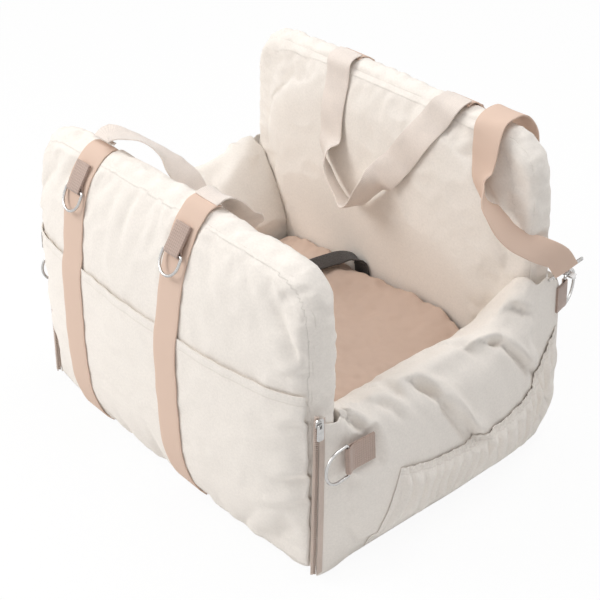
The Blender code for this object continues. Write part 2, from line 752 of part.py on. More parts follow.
# Rows of a handle's route: share along it, share over the wall, share of its drop and
# quarter turns of its width
FRONT_HANDLE_SHARES = (
    (0.00, 0.04, 0.00, 0.00), (0.00, 0.18, -0.02, 0.00), (0.00, 0.34, -0.06, 0.00),
    (0.03, 0.50, -0.10, 0.08), (0.10, 0.68, -0.13, 0.26), (0.20, 0.86, -0.10, 0.50),
    (0.29, 1.00, 0.02, 0.72), (0.36, 1.00, 0.22, 0.88),
    (0.42, 1.00, 0.50, 1.00), (0.50, 1.00, 0.84, 1.00), (0.62, 1.00, 1.00, 1.00),
    (0.76, 1.00, 0.90, 1.00), (0.90, 1.00, 0.66, 1.15), (1.01, 1.00, 0.40, 1.45),
    (1.04, 1.00, 0.20, 1.75), (1.035, 0.84, 0.02, 1.92), (1.01, 0.48, -0.03, 2.00),
    (1.00, 0.20, -0.01, 2.00), (1.00, 0.04, 0.00, 2.00))
BACK_HANDLE_SHARES = (
    (0.00, 0.04, 0.00, 0.00), (0.00, 0.50, 0.00, 0.00), (0.00, 0.92, 0.04, 0.00),
    (0.00, 1.00, 0.15, 0.00), (0.00, 1.00, 0.40, 0.00), (0.01, 1.00, 0.66, 0.10),
    (0.03, 1.00, 0.76, 0.50), (0.12, 1.00, 0.92, 1.00), (0.27, 1.00, 1.00, 1.00),
    (0.42, 1.00, 0.93, 1.00), (0.54, 1.00, 0.78, 1.20), (0.61, 1.00, 0.68, 1.70),
    (0.70, 1.00, 0.54, 1.95), (0.83, 1.00, 0.32, 2.00), (0.93, 1.00, 0.15, 2.00),
    (0.99, 0.92, 0.04, 2.00), (1.00, 0.50, 0.00, 2.00), (1.00, 0.04, 0.00, 2.00))


def carry_handle(name, places, face, sign, height, middle_y, drop, shares):
    """The loop of webbing between two sewn straps, hanging inside the cabin."""
    top = height + TOP_ROLL + CROWN_STANDOFF + STRAP_THICKNESS / 2
    start_y = middle_y + sign * HANDLE_SPLIT
    centres = []
    acrosses = []
    for along, over, low, quarters in shares:
        x = mix(*places, along)
        z = top - drop * low
        turn = math.radians(90) * quarters
        reach = HANDLE_STANDOFF + STRAP_WIDTH / 2 * math.sin(turn)
        inner_y = face(x, min(z, height)) + sign * reach
        centres.append(Vector((x, mix(start_y, inner_y, over), z)))
        acrosses.append(Vector((math.cos(turn), -math.sin(turn), 0)))
    centres[0].y = start_y
    centres[-1].y = start_y
    handle = ribbon(name, centres, squared(centres, acrosses), STRAP_WIDTH, STRAP_THICKNESS,
                    WEBBING_FINISH)
    move_origin(handle, (0, middle_y, top + STRAP_THICKNESS / 2))


def move_origin(item, origin):
    """Put a moving piece's origin on its joint's axis, without moving the piece."""
    origin = Vector(origin)
    item.data.transform(Matrix.Translation(-origin))
    item.location = origin


def build_straps():
    """The sewn straps and the two carrying handles."""
    front_middle = front_seam_y(FRONT_HEIGHT) + FRONT_GUSSET / 2
    back_middle = back_seam_y(BACK_HEIGHT) + BACK_GUSSET / 2
    for name, place in zip(("left", "right"), FRONT_STRAP_PLACES):
        sewn_strap("front_strap_" + name, place, front_stand, -1, FRONT_HEIGHT, front_middle)
    for name, place in zip(("left", "right"), BACK_STRAP_PLACES):
        sewn_strap("back_strap_" + name, place, back_outer, 1, BACK_HEIGHT, back_middle)
    carry_handle("front_handle", FRONT_STRAP_PLACES, front_inner, 1, FRONT_HEIGHT,
                 front_middle, FRONT_HANDLE_DROP, FRONT_HANDLE_SHARES)
    carry_handle("back_handle", BACK_STRAP_PLACES, back_inner, -1, BACK_HEIGHT,
                 back_middle, BACK_HANDLE_DROP, BACK_HANDLE_SHARES)


def ring_outline(width, depth, wire_size):
    """The wire's axis of a D-ring: its bar on the Y axis, its arc reaching along +X."""
    half = (width + wire_size) / 2
    leg = depth - half if depth > half else depth / 4
    steps = 10
    points = [(0, half, 0)]
    for step in range(steps + 1):
        angle = math.radians(90 - 180 * step / steps)
        points.append((leg + (depth - leg) * math.cos(angle), half * math.sin(angle), 0))
    points.append((0, -half, 0))
    return points


def fold_profile(length, bar, thickness, slack):
    """A tab's profile: along the seam, round the bar and back, as (run, height) pairs."""
    lower = thickness / 2
    centre = thickness + slack + bar / 2
    radius = bar / 2 + slack + thickness / 2
    upper = lower + thickness + slack
    steps = 6
    profile = [(0.0, lower), (length - radius, lower)]
    for step in range(steps + 1):
        angle = math.radians(-90 + 180 * step / steps)
        profile.append((length + radius * math.cos(angle), centre + radius * math.sin(angle)))
    profile.append((length - 2 * radius, upper + slack))
    profile.append((0.0, upper))
    return profile, centre


def ring_and_tab(ring_name, tab_name, place, ring, tab, turn=0.0):
    """A D-ring and the webbing tab that holds its bar.

    The placing matrix has X along the tab towards the ring, Y across it and Z outwards.
    """
    ring_width, ring_depth, ring_wire = ring
    tab_width, tab_length = tab
    profile, bar_height = fold_profile(tab_length, ring_wire, TAB_THICKNESS, TAB_SLACK)
    centres = [place @ Vector((run, 0, height)) for run, height in profile]
    across = (place.to_3x3() @ Vector((0, 1, 0))).normalized()
    ribbon(tab_name, centres, [across] * len(centres), tab_width, TAB_THICKNESS,
           WEBBING_FINISH)
    bar = place @ Matrix.Translation((tab_length, 0, bar_height))
    spin = Matrix.Rotation(math.radians(-turn), 4, "Y")
    return wire(ring_name, ring_outline(ring_width, ring_depth, ring_wire), ring_wire,
                METAL_FINISH, cyclic=True, place=bar @ spin)


def strap_tab_place(place, face, sign, height):
    """Where a ring's tab is sewn on a strap: a matrix at its upper end."""
    pick = min if sign < 0 else max
    lift = STRAP_STANDOFF + STRAP_THICKNESS + STRAP_STANDOFF
    low_z = height - SMALL_TAB_DROP
    high_z = low_z + SMALL_TAB_LENGTH
    low = Vector((place, widest(place, face, low_z, pick) + sign * lift, low_z))
    high = Vector((place, widest(place, face, high_z, pick) + sign * lift, high_z))
    down = (low - high).normalized()
    out = Vector((0, sign, 0))
    out = (out - down * out.dot(down)).normalized()
    bow = 0.0
    for share in (0.25, 0.5, 0.75):
        z = mix(high_z, low_z, share)
        point = Vector((place, widest(place, face, z, pick) + sign * lift, z))
        bow = max(bow, (point - high).dot(out))
    return frame(high + out * bow, down, out.cross(down))


def build_small_rings():
    """The rings on the two front straps and on the two back straps."""
    ring = (SMALL_RING_WIDTH, SMALL_RING_DEPTH, SMALL_RING_WIRE)
    tab = (SMALL_TAB_WIDTH, SMALL_TAB_LENGTH)
    walls = (("front", FRONT_STRAP_PLACES, front_stand, -1, FRONT_HEIGHT),
             ("back", BACK_STRAP_PLACES, back_outer, 1, BACK_HEIGHT))
    for wall, places, face, sign, height in walls:
        for side, place in zip(("left", "right"), places):
            matrix = strap_tab_place(place, face, sign, height)
            ring_and_tab(wall + "_ring_" + side, wall + "_ring_tab_" + side, matrix, ring, tab,
                         SMALL_RING_TURN)


def build_side_rings():
    """The two larger rings on each side: one at the zip, one on the rear corner."""
    ring = (SIDE_RING_WIDTH, SIDE_RING_DEPTH, SIDE_RING_WIRE)
    frames = {}
    for side_name, side in (("right", 1), ("left", -1)):
        z = SIDE_TAB_HEIGHT
        bar_y = front_seam_y(z) + SIDE_TAB_SETBACK
        base_y = bar_y + SIDE_TAB_LENGTH
        bar_x = max(side_outer(bar_y, z), side_outer(mix(bar_y, base_y, 0.5), z))
        base_x = side_outer(base_y, z)
        half = SIDE_TAB_WIDTH / 2
        spread = max(side_outer(base_y, z + half), side_outer(base_y, z - half)) - base_x
        lift = STRAP_STANDOFF + max(0.0, spread)
        base = Vector((side * (base_x + lift), base_y, z))
        bar = Vector((side * (bar_x + lift), bar_y, z))
        up = Vector((0, 0, 1))
        run = (bar - base).normalized()
        place = frame(base, run, up * -side)
        ring_and_tab("side_ring_" + side_name, "side_ring_tab_" + side_name, place, ring,
                     (SIDE_TAB_WIDTH, SIDE_TAB_LENGTH), SIDE_RING_TURN)
        angle = math.radians(REAR_TAB_ANGLE)
        centre = Vector((SIDE_SEAM - WRAP_RADIUS, SEAT_DEPTH / 2 - WRAP_RADIUS, 0))
        normal = Vector((math.cos(angle), math.sin(angle), 0))
        tangent = Vector((-math.sin(angle), math.cos(angle), 0))
        base = centre + normal * (WRAP_RADIUS + CLEARANCE) - tangent * REAR_TAB_LENGTH / 2
        base.z = REAR_TAB_HEIGHT
        base.x *= side
        tangent.x *= side
        place = frame(base, tangent, up * side)
        body = ring_and_tab("rear_ring_" + side_name, "rear_ring_tab_" + side_name, place, ring,
                            (SIDE_TAB_WIDTH, REAR_TAB_LENGTH), REAR_RING_TURN)
        frames[side_name] = body.matrix_world.copy()
    return frames


def wrap_point(y, z, lift):
    """A point off the right side, where y past the rear corner's start runs round its arc."""
    end = SEAT_DEPTH / 2 - WRAP_RADIUS
    if y <= end:
        return Vector((side_outer(y, z) + lift, y, z))
    angle = (y - end) / WRAP_RADIUS
    reach = WRAP_RADIUS + lift
    return Vector((SIDE_SEAM - WRAP_RADIUS + reach * math.cos(angle),
                   end + reach * math.sin(angle), z))


def bag_hem(along):
    """Height of a side pocket's hem along its length."""
    front = max(0.0, 1 - along / HEM_LOW_SHARE) ** 2
    rear = max(0.0, (along - HEM_LOW_SHARE) / (1 - HEM_LOW_SHARE)) ** 2
    return BAG_HEM + BAG_FRONT_RISE * front + BAG_REAR_RISE * rear


def bag_point(along, up, lift):
    """A point of a side pocket: along it and up it, both from 0 to 1."""
    front = FRONT_SEAM + BAG_FRONT + BAG_RAKE * up
    end = SEAT_DEPTH / 2 - WRAP_RADIUS + math.radians(BAG_REAR_ANGLE) * WRAP_RADIUS
    z = mix(BAG_FOOT, bag_hem(along), up)
    slack = BAG_SLACK * math.sin(math.pi * along) ** 0.8 * up ** 1.5
    return wrap_point(mix(front, end, along), z, BAG_STANDOFF + slack + lift)


def mirrored(point, side):
    """The point, or its twin on the left."""
    return Vector((side * point.x, point.y, point.z))


def build_side_pockets():
    """The gathered pocket on each side, with its elastic hem."""
    columns = 16
    rows = 5
    for name, side in (("right", 1), ("left", -1)):
        bm = bmesh.new()
        bmesh.ops.create_grid(bm, x_segments=columns, y_segments=rows, size=1)
        for vertex in bm.verts:
            along, up = (vertex.co.x + 1) / 2, (vertex.co.y + 1) / 2
            vertex.co = mirrored(bag_point(along, up, 0.0), side)
        bag = mesh_object("side_pocket_" + name, bm, CANVAS_FINISH)
        outwards = 1 if bag.data.polygons[0].normal.x * side > 0 else -1
        solidify(bag, BAG_THICKNESS, outwards)
        lift = BAG_THICKNESS / 2 + HEM_THICKNESS / 2
        centres = []
        for step in range(columns + 1):
            point = bag_point(mix(0.02, 0.98, step / columns), 1.0, lift)
            point.z -= HEM_WIDTH / 2
            centres.append(mirrored(point, side))
        acrosses = [Vector((0, 0, 1))] * len(centres)
        hem = ribbon("pocket_hem_" + name, centres, acrosses, HEM_WIDTH, HEM_THICKNESS,
                     CANVAS_FINISH)
        join_solids(bag, hem)


def loft(name, sections, finish):
    """A closed solid through sections with equal numbers of points."""
    bm = bmesh.new()
    rings = [[bm.verts.new(point) for point in section] for section in sections]
    for low, high in zip(rings, rings[1:]):
        for index in range(len(low)):
            after = (index + 1) % len(low)
            bm.faces.new((low[index], low[after], high[after], high[index]))
    bm.faces.new(rings[0])
    bm.faces.new(rings[-1])
    return mesh_object(name, bm, finish, smooth=False)


def zip_sections(side, on_side_panel):
    """Sections of one half of a zip, from its foot to its head."""
    rows = SIDE_PANEL_ROWS
    levels = [mix(FLOOR_TOP, SIDE_HEIGHT, row / rows) for row in range(1, rows + 1)]
    levels = [ZIP_FOOT, *levels, ZIP_HEAD]
    near_x = front_half(0) + ZIP_GAP
    sections = []
    for z in levels:
        seam_y = front_seam_y(z)
        edge_y = seam_y + SIDE_FRONT_SETBACK
        rear_y = edge_y - ZIP_GAP
        if on_side_panel:
            tape_y = edge_y + ZIP_TAPE_WIDTH
            level = min(z, SIDE_HEIGHT)
            edge_x = side_outer(edge_y, level) + ZIP_TAPE_LIFT
            tape_x = side_outer(tape_y, level) + ZIP_TAPE_LIFT
            points = [(near_x, rear_y - ZIP_BEAD), (edge_x + ZIP_TAPE, rear_y - ZIP_BEAD),
                      (tape_x + ZIP_TAPE, tape_y), (tape_x, tape_y), (edge_x, rear_y),
                      (near_x, rear_y)]
        else:
            rear_y -= ZIP_BEAD + ZIP_GAP
            points = [(near_x, rear_y - ZIP_BEAD), (near_x + ZIP_BEAD_WIDTH, rear_y - ZIP_BEAD),
                      (near_x + ZIP_BEAD_WIDTH, rear_y), (near_x, rear_y)]
        sections.append([Vector((side * x, y, z)) for x, y in points])
    return sections


def build_zips():
    """The zip at each front corner: two rows of teeth, a slider and its pull."""
    lean = (front_seam_y(ZIP_HEAD) - front_seam_y(ZIP_FOOT)) / (ZIP_HEAD - ZIP_FOOT)
    up = Vector((0, lean, 1)).normalized()
    slider_z = ZIP_HEAD - SLIDER_LENGTH / 2
    middle = SIDE_FRONT_SETBACK - ZIP_GAP * 1.5 - ZIP_BEAD
    for name, side in (("right", 1), ("left", -1)):
        loft("zip_side_half_" + name, zip_sections(side, True), WEBBING_FINISH)
        loft("zip_panel_half_" + name, zip_sections(side, False), WEBBING_FINISH)
        out = Vector((side, 0, 0))
        across = up.cross(out)
        reach = front_half(0) + ZIP_GAP + ZIP_BEAD_WIDTH + SLIDER_LIFT + SLIDER_THICKNESS / 2
        centre = Vector((side * reach, front_seam_y(slider_z) + middle, slider_z))
        slider = plate("zip_slider_" + name,
                       rounded_outline(SLIDER_WIDTH, SLIDER_LENGTH, SLIDER_WIDTH / 3),
                       SLIDER_THICKNESS, METAL_FINISH, frame(centre, across, up))
        half = BAIL_LENGTH / 2
        foot = SLIDER_THICKNESS / 4
        top = SLIDER_THICKNESS / 2 + BAIL_HEIGHT
        arch = [(0, half, foot), (0, half, top - BAIL_WIRE), (0, half - BAIL_WIRE, top),
                (0, BAIL_WIRE - half, top), (0, -half, top - BAIL_WIRE), (0, -half, foot)]
        bail = wire("zip_bail_" + name, arch, BAIL_WIRE, METAL_FINISH, place=slider.matrix_world)
        join_solids(slider, bail)
        lift = SLIDER_THICKNESS / 2 + PULL_LIFT
        hang = frame(centre, across, up) @ Matrix.Translation((0, 0, lift))
        drop = PULL_LENGTH / 2 - PULL_BAR / 2
        outline = [(x, y - drop) for x, y in
                   rounded_outline(PULL_WIDTH, PULL_LENGTH, PULL_WIDTH / 4)]
        slot_middle = -PULL_BAR / 2 - PULL_SLOT / 2
        hole = [(x, y + slot_middle) for x, y in
                rounded_outline(PULL_SLOT_WIDTH, PULL_SLOT, PULL_SLOT_WIDTH / 4, 1)]
        plate("zip_pull_" + name, outline, PULL_THICKNESS, METAL_FINISH, hang, hole)


def join_solids(body, *others):
    """Join further solids to a body, and leave one part."""
    for other in others:
        hide_shape(other)
        boolean(body, other, "UNION")


def hide_shape(item):
    """Move an object from the seat's parts to the cutters."""
    bpy.data.collections["dog_car_seat"].objects.unlink(item)
    hide_tool(item)


def turned_bar(name, radius, low, high, place):
    """A round bar along the placing matrix's X axis, used to cut or to join."""
    bm = bmesh.new()
    along = Matrix.Translation(((low + high) / 2, 0, 0)) @ Matrix.Rotation(math.radians(90), 4, "Y")
    bmesh.ops.create_cone(bm, cap_ends=True, segments=14, radius1=radius, radius2=radius,
                          depth=high - low, matrix=along)
    mesh = bpy.data.meshes.new(name)
    bm.to_mesh(mesh)
    bm.free()
    bar = bpy.data.objects.new(name, mesh)
    bar.matrix_world = place
    hide_tool(bar)
    return bar


def placed_box(name, low, high, place):
    """A box in a placing matrix's own directions, used to cut or to join."""
    box = cutter_box(name, low, high)
    box.matrix_world = place
    return box


def strap_loop(name, strap_width, place):
    """The rectangular loop in a strap's end, with the barrel that its hook turns in."""
    half = strap_width / 2 + LOOP_SLACK + LOOP_WIRE / 2
    corner = LOOP_WIRE / 2
    points = [(-LOOP_DEPTH, corner - half, 0), (-LOOP_DEPTH, half - corner, 0),
              (corner - LOOP_DEPTH, half, 0), (-corner, half, 0), (0, half - corner, 0),
              (0, corner - half, 0), (-corner, -half, 0), (corner - LOOP_DEPTH, -half, 0)]
    loop = wire(name, points, LOOP_WIRE, METAL_FINISH, cyclic=True, place=place)
    reach = SWIVEL_LENGTH / 2
    barrel = turned_bar(name + "_barrel", SWIVEL_RADIUS, -reach, reach, place)
    bore = HOOK_WIRE / 2 + SWIVEL_GAP
    hole = turned_bar(name + "_hole", bore, -reach - CUT_OVERRUN, reach + CUT_OVERRUN, place)
    boolean(loop, barrel, "UNION")
    boolean(loop, hole, "DIFFERENCE")


def snap_hook(name, place):
    """A swivelling snap hook and its gate, in a frame with X along it and Y to its gate."""
    head_end = HEAD_START + HEAD_LENGTH
    middle = head_end + BIGHT_LEG
    head_half = HOOK_BIGHT + HOOK_WIRE / 2
    points = [(HEAD_START + HEAD_LENGTH / 2, -HOOK_BIGHT, 0), (middle, -HOOK_BIGHT, 0)]
    steps = 9
    for step in range(1, steps):
        angle = math.radians(-90 + 180 * step / steps)
        points.append((middle + HOOK_BIGHT * math.cos(angle), HOOK_BIGHT * math.sin(angle), 0))
    points += [(middle, HOOK_BIGHT, 0), (middle - TIP_LENGTH, HOOK_BIGHT, 0)]
    hook = wire(name + "_hook", points, HOOK_WIRE, METAL_FINISH, place=place)
    collar = -SWIVEL_LENGTH / 2 - SWIVEL_GAP
    shank = turned_bar(name + "_shank", HOOK_WIRE / 2, collar - STUD_LENGTH / 2,
                       HEAD_START + HEAD_LENGTH / 2, place)
    stud = turned_bar(name + "_stud", STUD_RADIUS, collar - STUD_LENGTH, collar, place)
    head = placed_box(name + "_head", (HEAD_START, -head_half, -HEAD_DEPTH / 2),
                      (head_end, head_half, HEAD_DEPTH / 2), place)
    boolean(hook, head, "UNION")
    boolean(hook, shank, "UNION")
    boolean(hook, stud, "UNION")
    slack = GATE_WIRE / 2 + GATE_GAP
    slot = placed_box(name + "_slot",
                      (head_end - GATE_ROOT - GATE_GAP, HOOK_BIGHT - slack, -slack),
                      (head_end + GATE_GAP, head_half + CUT_OVERRUN, slack), place)
    boolean(hook, slot, "DIFFERENCE")
    gate = [(-GATE_ROOT, 0, 0), (BIGHT_LEG - TIP_LENGTH - GATE_GAP, 0, 0)]
    wire(name + "_gate", gate, GATE_WIRE, METAL_FINISH,
         place=place @ Matrix.Translation((head_end, HOOK_BIGHT, 0)))


def strap_end(loop_place, direction, thickness):
    """A strap's sewn end round its loop's bar: points from the strap to the tail's tip."""
    across = (loop_place.to_3x3() @ Vector((0, 1, 0))).normalized()
    turn = Vector(direction) - across * across.dot(Vector(direction))
    place = frame(loop_place @ Vector((-LOOP_DEPTH, 0, 0)), turn, across)
    profile, centre = fold_profile(SEWN_TAIL, LOOP_WIRE, thickness, TAB_SLACK)
    points = [place @ Vector((run - SEWN_TAIL, 0, height - centre)) for run, height in profile]
    return points, [across] * len(points)


def clip_frame(point, along, wire_direction, gate_side):
    """Where a hook's frame lies when its bight holds a ring's wire at a point."""
    along = along.normalized()
    normal = (wire_direction - along * wire_direction.dot(along)).normalized()
    reach = (HEAD_START + HEAD_LENGTH + BIGHT_LEG + HOOK_BIGHT - HOOK_WIRE / 2
             - SIDE_RING_WIRE / 2 - CLIP_SLACK)
    return frame(point - along * reach, along, normal.cross(along) * gate_side)


# Rows of the shoulder strap's route: a share of the seat's half width, a share of the backrest's
# setback forward of the seat's rear, a share of the way from the rear tabs up to the backrest's
# top, and the turn of its width in degrees
SHOULDER_NEAR_SHARES = (
    (0.680, 0.512, 1.051, 0), (0.690, 0.801, 1.031, 0), (0.702, 0.926, 0.918, 4),
    (0.704, 0.991, 0.778, 15), (0.745, 1.144, 0.690, 33), (0.818, 1.185, 0.616, 60),
    (0.886, 1.158, 0.547, 84), (0.940, 1.100, 0.512, 94), (0.975, 0.926, 0.477, 108),
    (0.993, 0.708, 0.423, 114))
SHOULDER_REAR_SHARES = (
    (0.672, 0.245, 1.031, 0), (0.670, 0.000, 0.922, 0), (0.650, -0.109, 0.766, 4),
    (0.580, -0.150, 0.551, 20), (0.430, -0.163, 0.317, 45), (0.220, -0.169, 0.132, 66),
    (-0.040, -0.180, 0.025, 82), (-0.300, -0.218, -0.011, 90), (-0.520, -0.272, -0.007, 90))
NEAR_HOOK_DIRECTION = (-0.45, 0.62, -0.64)
NEAR_LOOP_ACROSS = (-0.377, -0.784, -0.494)
NEAR_STRAP_DIRECTION = (0.24, 0.45, -0.86)
FAR_HOOK_DIRECTION = (-1.0, 0.0, 0.0)
FAR_LOOP_ACROSS = (0.0, 0.0, 1.0)
TETHER_HOOK_DIRECTION = (-0.05, -1.0, 0.0)
# The tether's route: shares of the same half width and setback, and of the cushion's top
TETHER_SHARES = (
    (-0.158, 1.138, 0.903), (-0.164, 1.147, 0.986), (-0.170, 1.209, 1.049),
    (-0.188, 1.422, 1.068), (-0.225, 1.852, 1.071), (-0.262, 2.397, 1.071),
    (-0.285, 2.887, 1.071))


def route_point(x_share, forward_share, z):
    """A point of a strap's route, from its shares and its height."""
    return Vector((x_share * SIDE_SEAM, SEAT_DEPTH / 2 - forward_share * BACK_SETBACK, z))


def build_shoulder_strap(rings):
    """The strap clipped to the right rear ring, over the backrest and to the left rear ring."""
    half = (SIDE_RING_WIDTH + SIDE_RING_WIRE) / 2
    ring = rings["right"]
    upper = half if (ring.to_3x3() @ Vector((0, 1, 0))).z > 0 else -half
    point = ring @ Vector(((SIDE_RING_DEPTH - half) / 2, upper, 0))
    ring_run = (ring.to_3x3() @ Vector((1, 0, 0))).normalized()
    near = clip_frame(point, Vector(NEAR_HOOK_DIRECTION), ring_run, 1)
    ring = rings["left"]
    point = ring @ Vector((SIDE_RING_DEPTH, 0, 0))
    far = clip_frame(point, Vector(FAR_HOOK_DIRECTION), Vector((0, 0, 1)), 1)
    snap_hook("shoulder_right", near)
    snap_hook("shoulder_left", far)
    near_loop = frame(near.translation, NEAR_HOOK_DIRECTION, NEAR_LOOP_ACROSS)
    far_loop = frame(far.translation, FAR_HOOK_DIRECTION, FAR_LOOP_ACROSS)
    strap_loop("shoulder_loop_right", STRAP_WIDTH, near_loop)
    strap_loop("shoulder_loop_left", STRAP_WIDTH, far_loop)
    near_end, near_across = strap_end(near_loop, NEAR_STRAP_DIRECTION, STRAP_THICKNESS)
    far_end, far_across = strap_end(far_loop, FAR_HOOK_DIRECTION, STRAP_THICKNESS)
    centres = near_end[::-1]
    acrosses = list(near_across)
    for x, y, rise, turn in SHOULDER_NEAR_SHARES[::-1]:
        angle = math.radians(turn)
        centres.append(route_point(x, y, mix(REAR_TAB_HEIGHT, BACK_HEIGHT, rise)))
        acrosses.append(Vector((math.cos(angle), -math.sin(angle), 0)))
    for x, y, rise, turn in SHOULDER_REAR_SHARES:
        angle = math.radians(turn)
        centres.append(route_point(x, y, mix(REAR_TAB_HEIGHT, BACK_HEIGHT, rise)))
        acrosses.append(Vector((math.cos(angle), 0, math.sin(angle))))
    centres += far_end
    acrosses += far_across
    ribbon("shoulder_strap", centres, squared(centres, acrosses), STRAP_WIDTH,
           STRAP_THICKNESS, WEBBING_FINISH)


def build_tether():
    """The tether from behind the cushion, with its loop and snap hook."""
    centres = [route_point(x, y, rise * CUSHION_TOP) for x, y, rise in TETHER_SHARES]
    along = Vector(TETHER_HOOK_DIRECTION).normalized()
    radius = LOOP_WIRE / 2 + TAB_SLACK + TETHER_THICKNESS / 2
    start = centres[-1] + along * (SEWN_TAIL + LOOP_DEPTH) + Vector((0, 0, radius))
    place = frame(start, along, Vector((0, 0, 1)).cross(along))
    snap_hook("tether", place)
    strap_loop("tether_loop", TETHER_WIDTH, place)
    end_points, end_across = strap_end(place, along, TETHER_THICKNESS)
    level_points = 3
    acrosses = [Vector((1, 0, 0))] * level_points
    acrosses += [end_across[0]] * (len(centres) - 1 - level_points) + end_across
    centres = centres[:-1] + end_points
    ribbon("tether_strap", centres, squared(centres, acrosses), TETHER_WIDTH,
           TETHER_THICKNESS, TETHER_FINISH)


def hang_front_panel():
    """Parent what folds down with the front panel to an empty on the panel's lower seam."""
    hinge = bpy.data.objects.new("front_panel_hinge", None)
    hinge.location = (0, FRONT_SEAM, FLOOR_TOP)
    bpy.data.collections["dog_car_seat"].objects.link(hinge)
    bpy.context.view_layer.update()
    starts = ("front_", "zip_panel_half")
    for item in bpy.data.collections["dog_car_seat"].objects:
        if item.name.startswith(starts) and item != hinge:
            item.parent = hinge
            item.matrix_parent_inverse = hinge.matrix_world.inverted()


def main():
    """Build the seat."""
    clear_scene()
    cushion_foot = build_base()
    build_walls()
    build_sides()
    build_cushion(cushion_foot)
    build_front_pocket()
    build_side_pockets()
    build_zips()
    build_straps()
    build_small_rings()
    build_shoulder_strap(build_side_rings())
    build_tether()
    hang_front_panel()


main()
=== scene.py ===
"""Looks of a padded dog car seat: stuffed canvas walls, plush, webbing, rings, zips and a strap."""
import json
import math

import bmesh
import bpy
import numpy as np
from mathutils import Matrix, Vector, noise
from mathutils.bvhtree import BVHTree
from mathutils.kdtree import KDTree


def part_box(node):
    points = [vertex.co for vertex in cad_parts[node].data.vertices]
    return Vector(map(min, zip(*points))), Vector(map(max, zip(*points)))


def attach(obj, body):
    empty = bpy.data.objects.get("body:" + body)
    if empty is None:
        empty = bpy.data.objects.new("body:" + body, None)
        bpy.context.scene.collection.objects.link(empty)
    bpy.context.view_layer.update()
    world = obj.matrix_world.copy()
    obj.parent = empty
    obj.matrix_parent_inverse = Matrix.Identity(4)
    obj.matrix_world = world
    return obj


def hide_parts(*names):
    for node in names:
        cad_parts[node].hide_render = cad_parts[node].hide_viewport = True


bl_info = {
    "name": "Padded Dog Car Seat",
    "version": (1, 0, 0),
    "blender": (4, 5, 0),
    "location": "View3D > Sidebar > Dog Seat",
    "description": "Dresses the frame of a padded dog car seat in cloth, webbing and metal",
    "category": "Object",
}

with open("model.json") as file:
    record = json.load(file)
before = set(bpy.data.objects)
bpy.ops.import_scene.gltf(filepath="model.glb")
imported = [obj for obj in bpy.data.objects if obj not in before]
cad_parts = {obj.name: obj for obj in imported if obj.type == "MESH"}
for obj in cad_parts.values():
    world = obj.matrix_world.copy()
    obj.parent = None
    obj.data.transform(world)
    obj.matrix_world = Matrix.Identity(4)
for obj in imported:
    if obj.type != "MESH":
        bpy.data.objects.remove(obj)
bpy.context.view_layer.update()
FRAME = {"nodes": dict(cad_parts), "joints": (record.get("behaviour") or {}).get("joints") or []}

# Sizes are in metres. X runs to the seat's right, Y to its rear and Z up.
# The front panel and the backrest: a seam's foot, lean and height, the depth between a wall's two
# seams, half the wall's width and the radius of its upper corners
FRONT_SEAM = -0.207
FRONT_LEAN = 0.030
FRONT_HEIGHT = 0.368
FRONT_GUSSET = 0.040
FRONT_HALF = 0.2623
FRONT_CORNER = 0.044
BACK_FOOT = 0.131
BACK_LEAN = 0.019
BACK_HEIGHT = 0.398
BACK_GUSSET = 0.038
BACK_HALF = 0.2535
BACK_CORNER = 0.052
FLOOR_TOP = 0.0019

# The sides: their outer seam, the wrap round the rear corner, the zip, and the cabin between them
SIDES = (("right", 1), ("left", -1))
SIDE_SEAM = 0.265
SIDE_HEIGHT = 0.212
WRAP_RADIUS = 0.040
WRAP_START = 0.167
ZIP_SETBACK = 0.006
CABIN_HALF = 0.185
SLOPE_START = 0.120
RIDGE_HEIGHT = 0.224
RIDGE_HALF = 0.249
SLOPE_SAG = 0.009

# A side cover's cells round its section and along its body, and its thin flaps at both ends
SIDE_AROUND = 100
SIDE_ROWS = 56
FRONT_FLAP_ROWS = 7
REAR_FLAP_ROWS = 17
FLAP_STRAIGHT = 0.30
FLAP_THICKNESS = 0.0022
RIDGE_FOLDS_FRONT = -0.16
RIDGE_FOLDS_REAR = 0.13

# Cloth: how stiff it is, how its seams press in and pucker, and how its stitches look
CLOTH_STIFFNESS = 14.0
SEAM_STEP = 0.002
SEAM_DEPTH = 0.0007
SEAM_WIDTH = 0.0034
SEAM_INSET = 0.003
SEAM_BAND = 0.005
PUCKER_REACH = 0.034
PUCKER_PITCH = 0.021
STITCH_HALF_WIDTH = 0.0007
STITCH_SHARE = 0.66
FOLD_TAIL = 0.6

# The patch pocket on the front and the gathered ones on the sides
POCKET_TOP = 0.241
POCKET_FOOT = 0.016
POCKET_EDGE = 0.2560
POCKET_HEM = 0.011
POCKET_CLOTH = 0.0012
POCKET_SLACK = 0.0011
GATHERED_CLOTH = 0.0011
GATHERED_HEM = 0.0075
GATHERED_FOOT = 0.010
PLEATS = 19
PLEAT_DEPTH = 0.0085
HEM_RIPPLES = 46

# Webbing: its sizes, its folded ends, and where the sewn straps' middles are
STRAP_WIDTH = 0.040
STRAP_THICKNESS = 0.0016
STRAP_FOOT = 0.010
TAB_THICKNESS = 0.0014
TETHER_WIDTH = 0.028
TETHER_THICKNESS = 0.002
SEWN_GAP = 0.0006
FOLD_GAP = 0.0004
LAYER_GAP = 0.0003
SEWN_TAIL = 0.022
FRONT_STRAP_PLACES = (-0.140, 0.058)
BACK_STRAP_PLACES = (-0.074, 0.113)
FRONT_HANDLE_DROP = 0.105
BACK_HANDLE_DROP = 0.165
TOP_TURN = 0.030
TOP_OFFSET = 0.0005

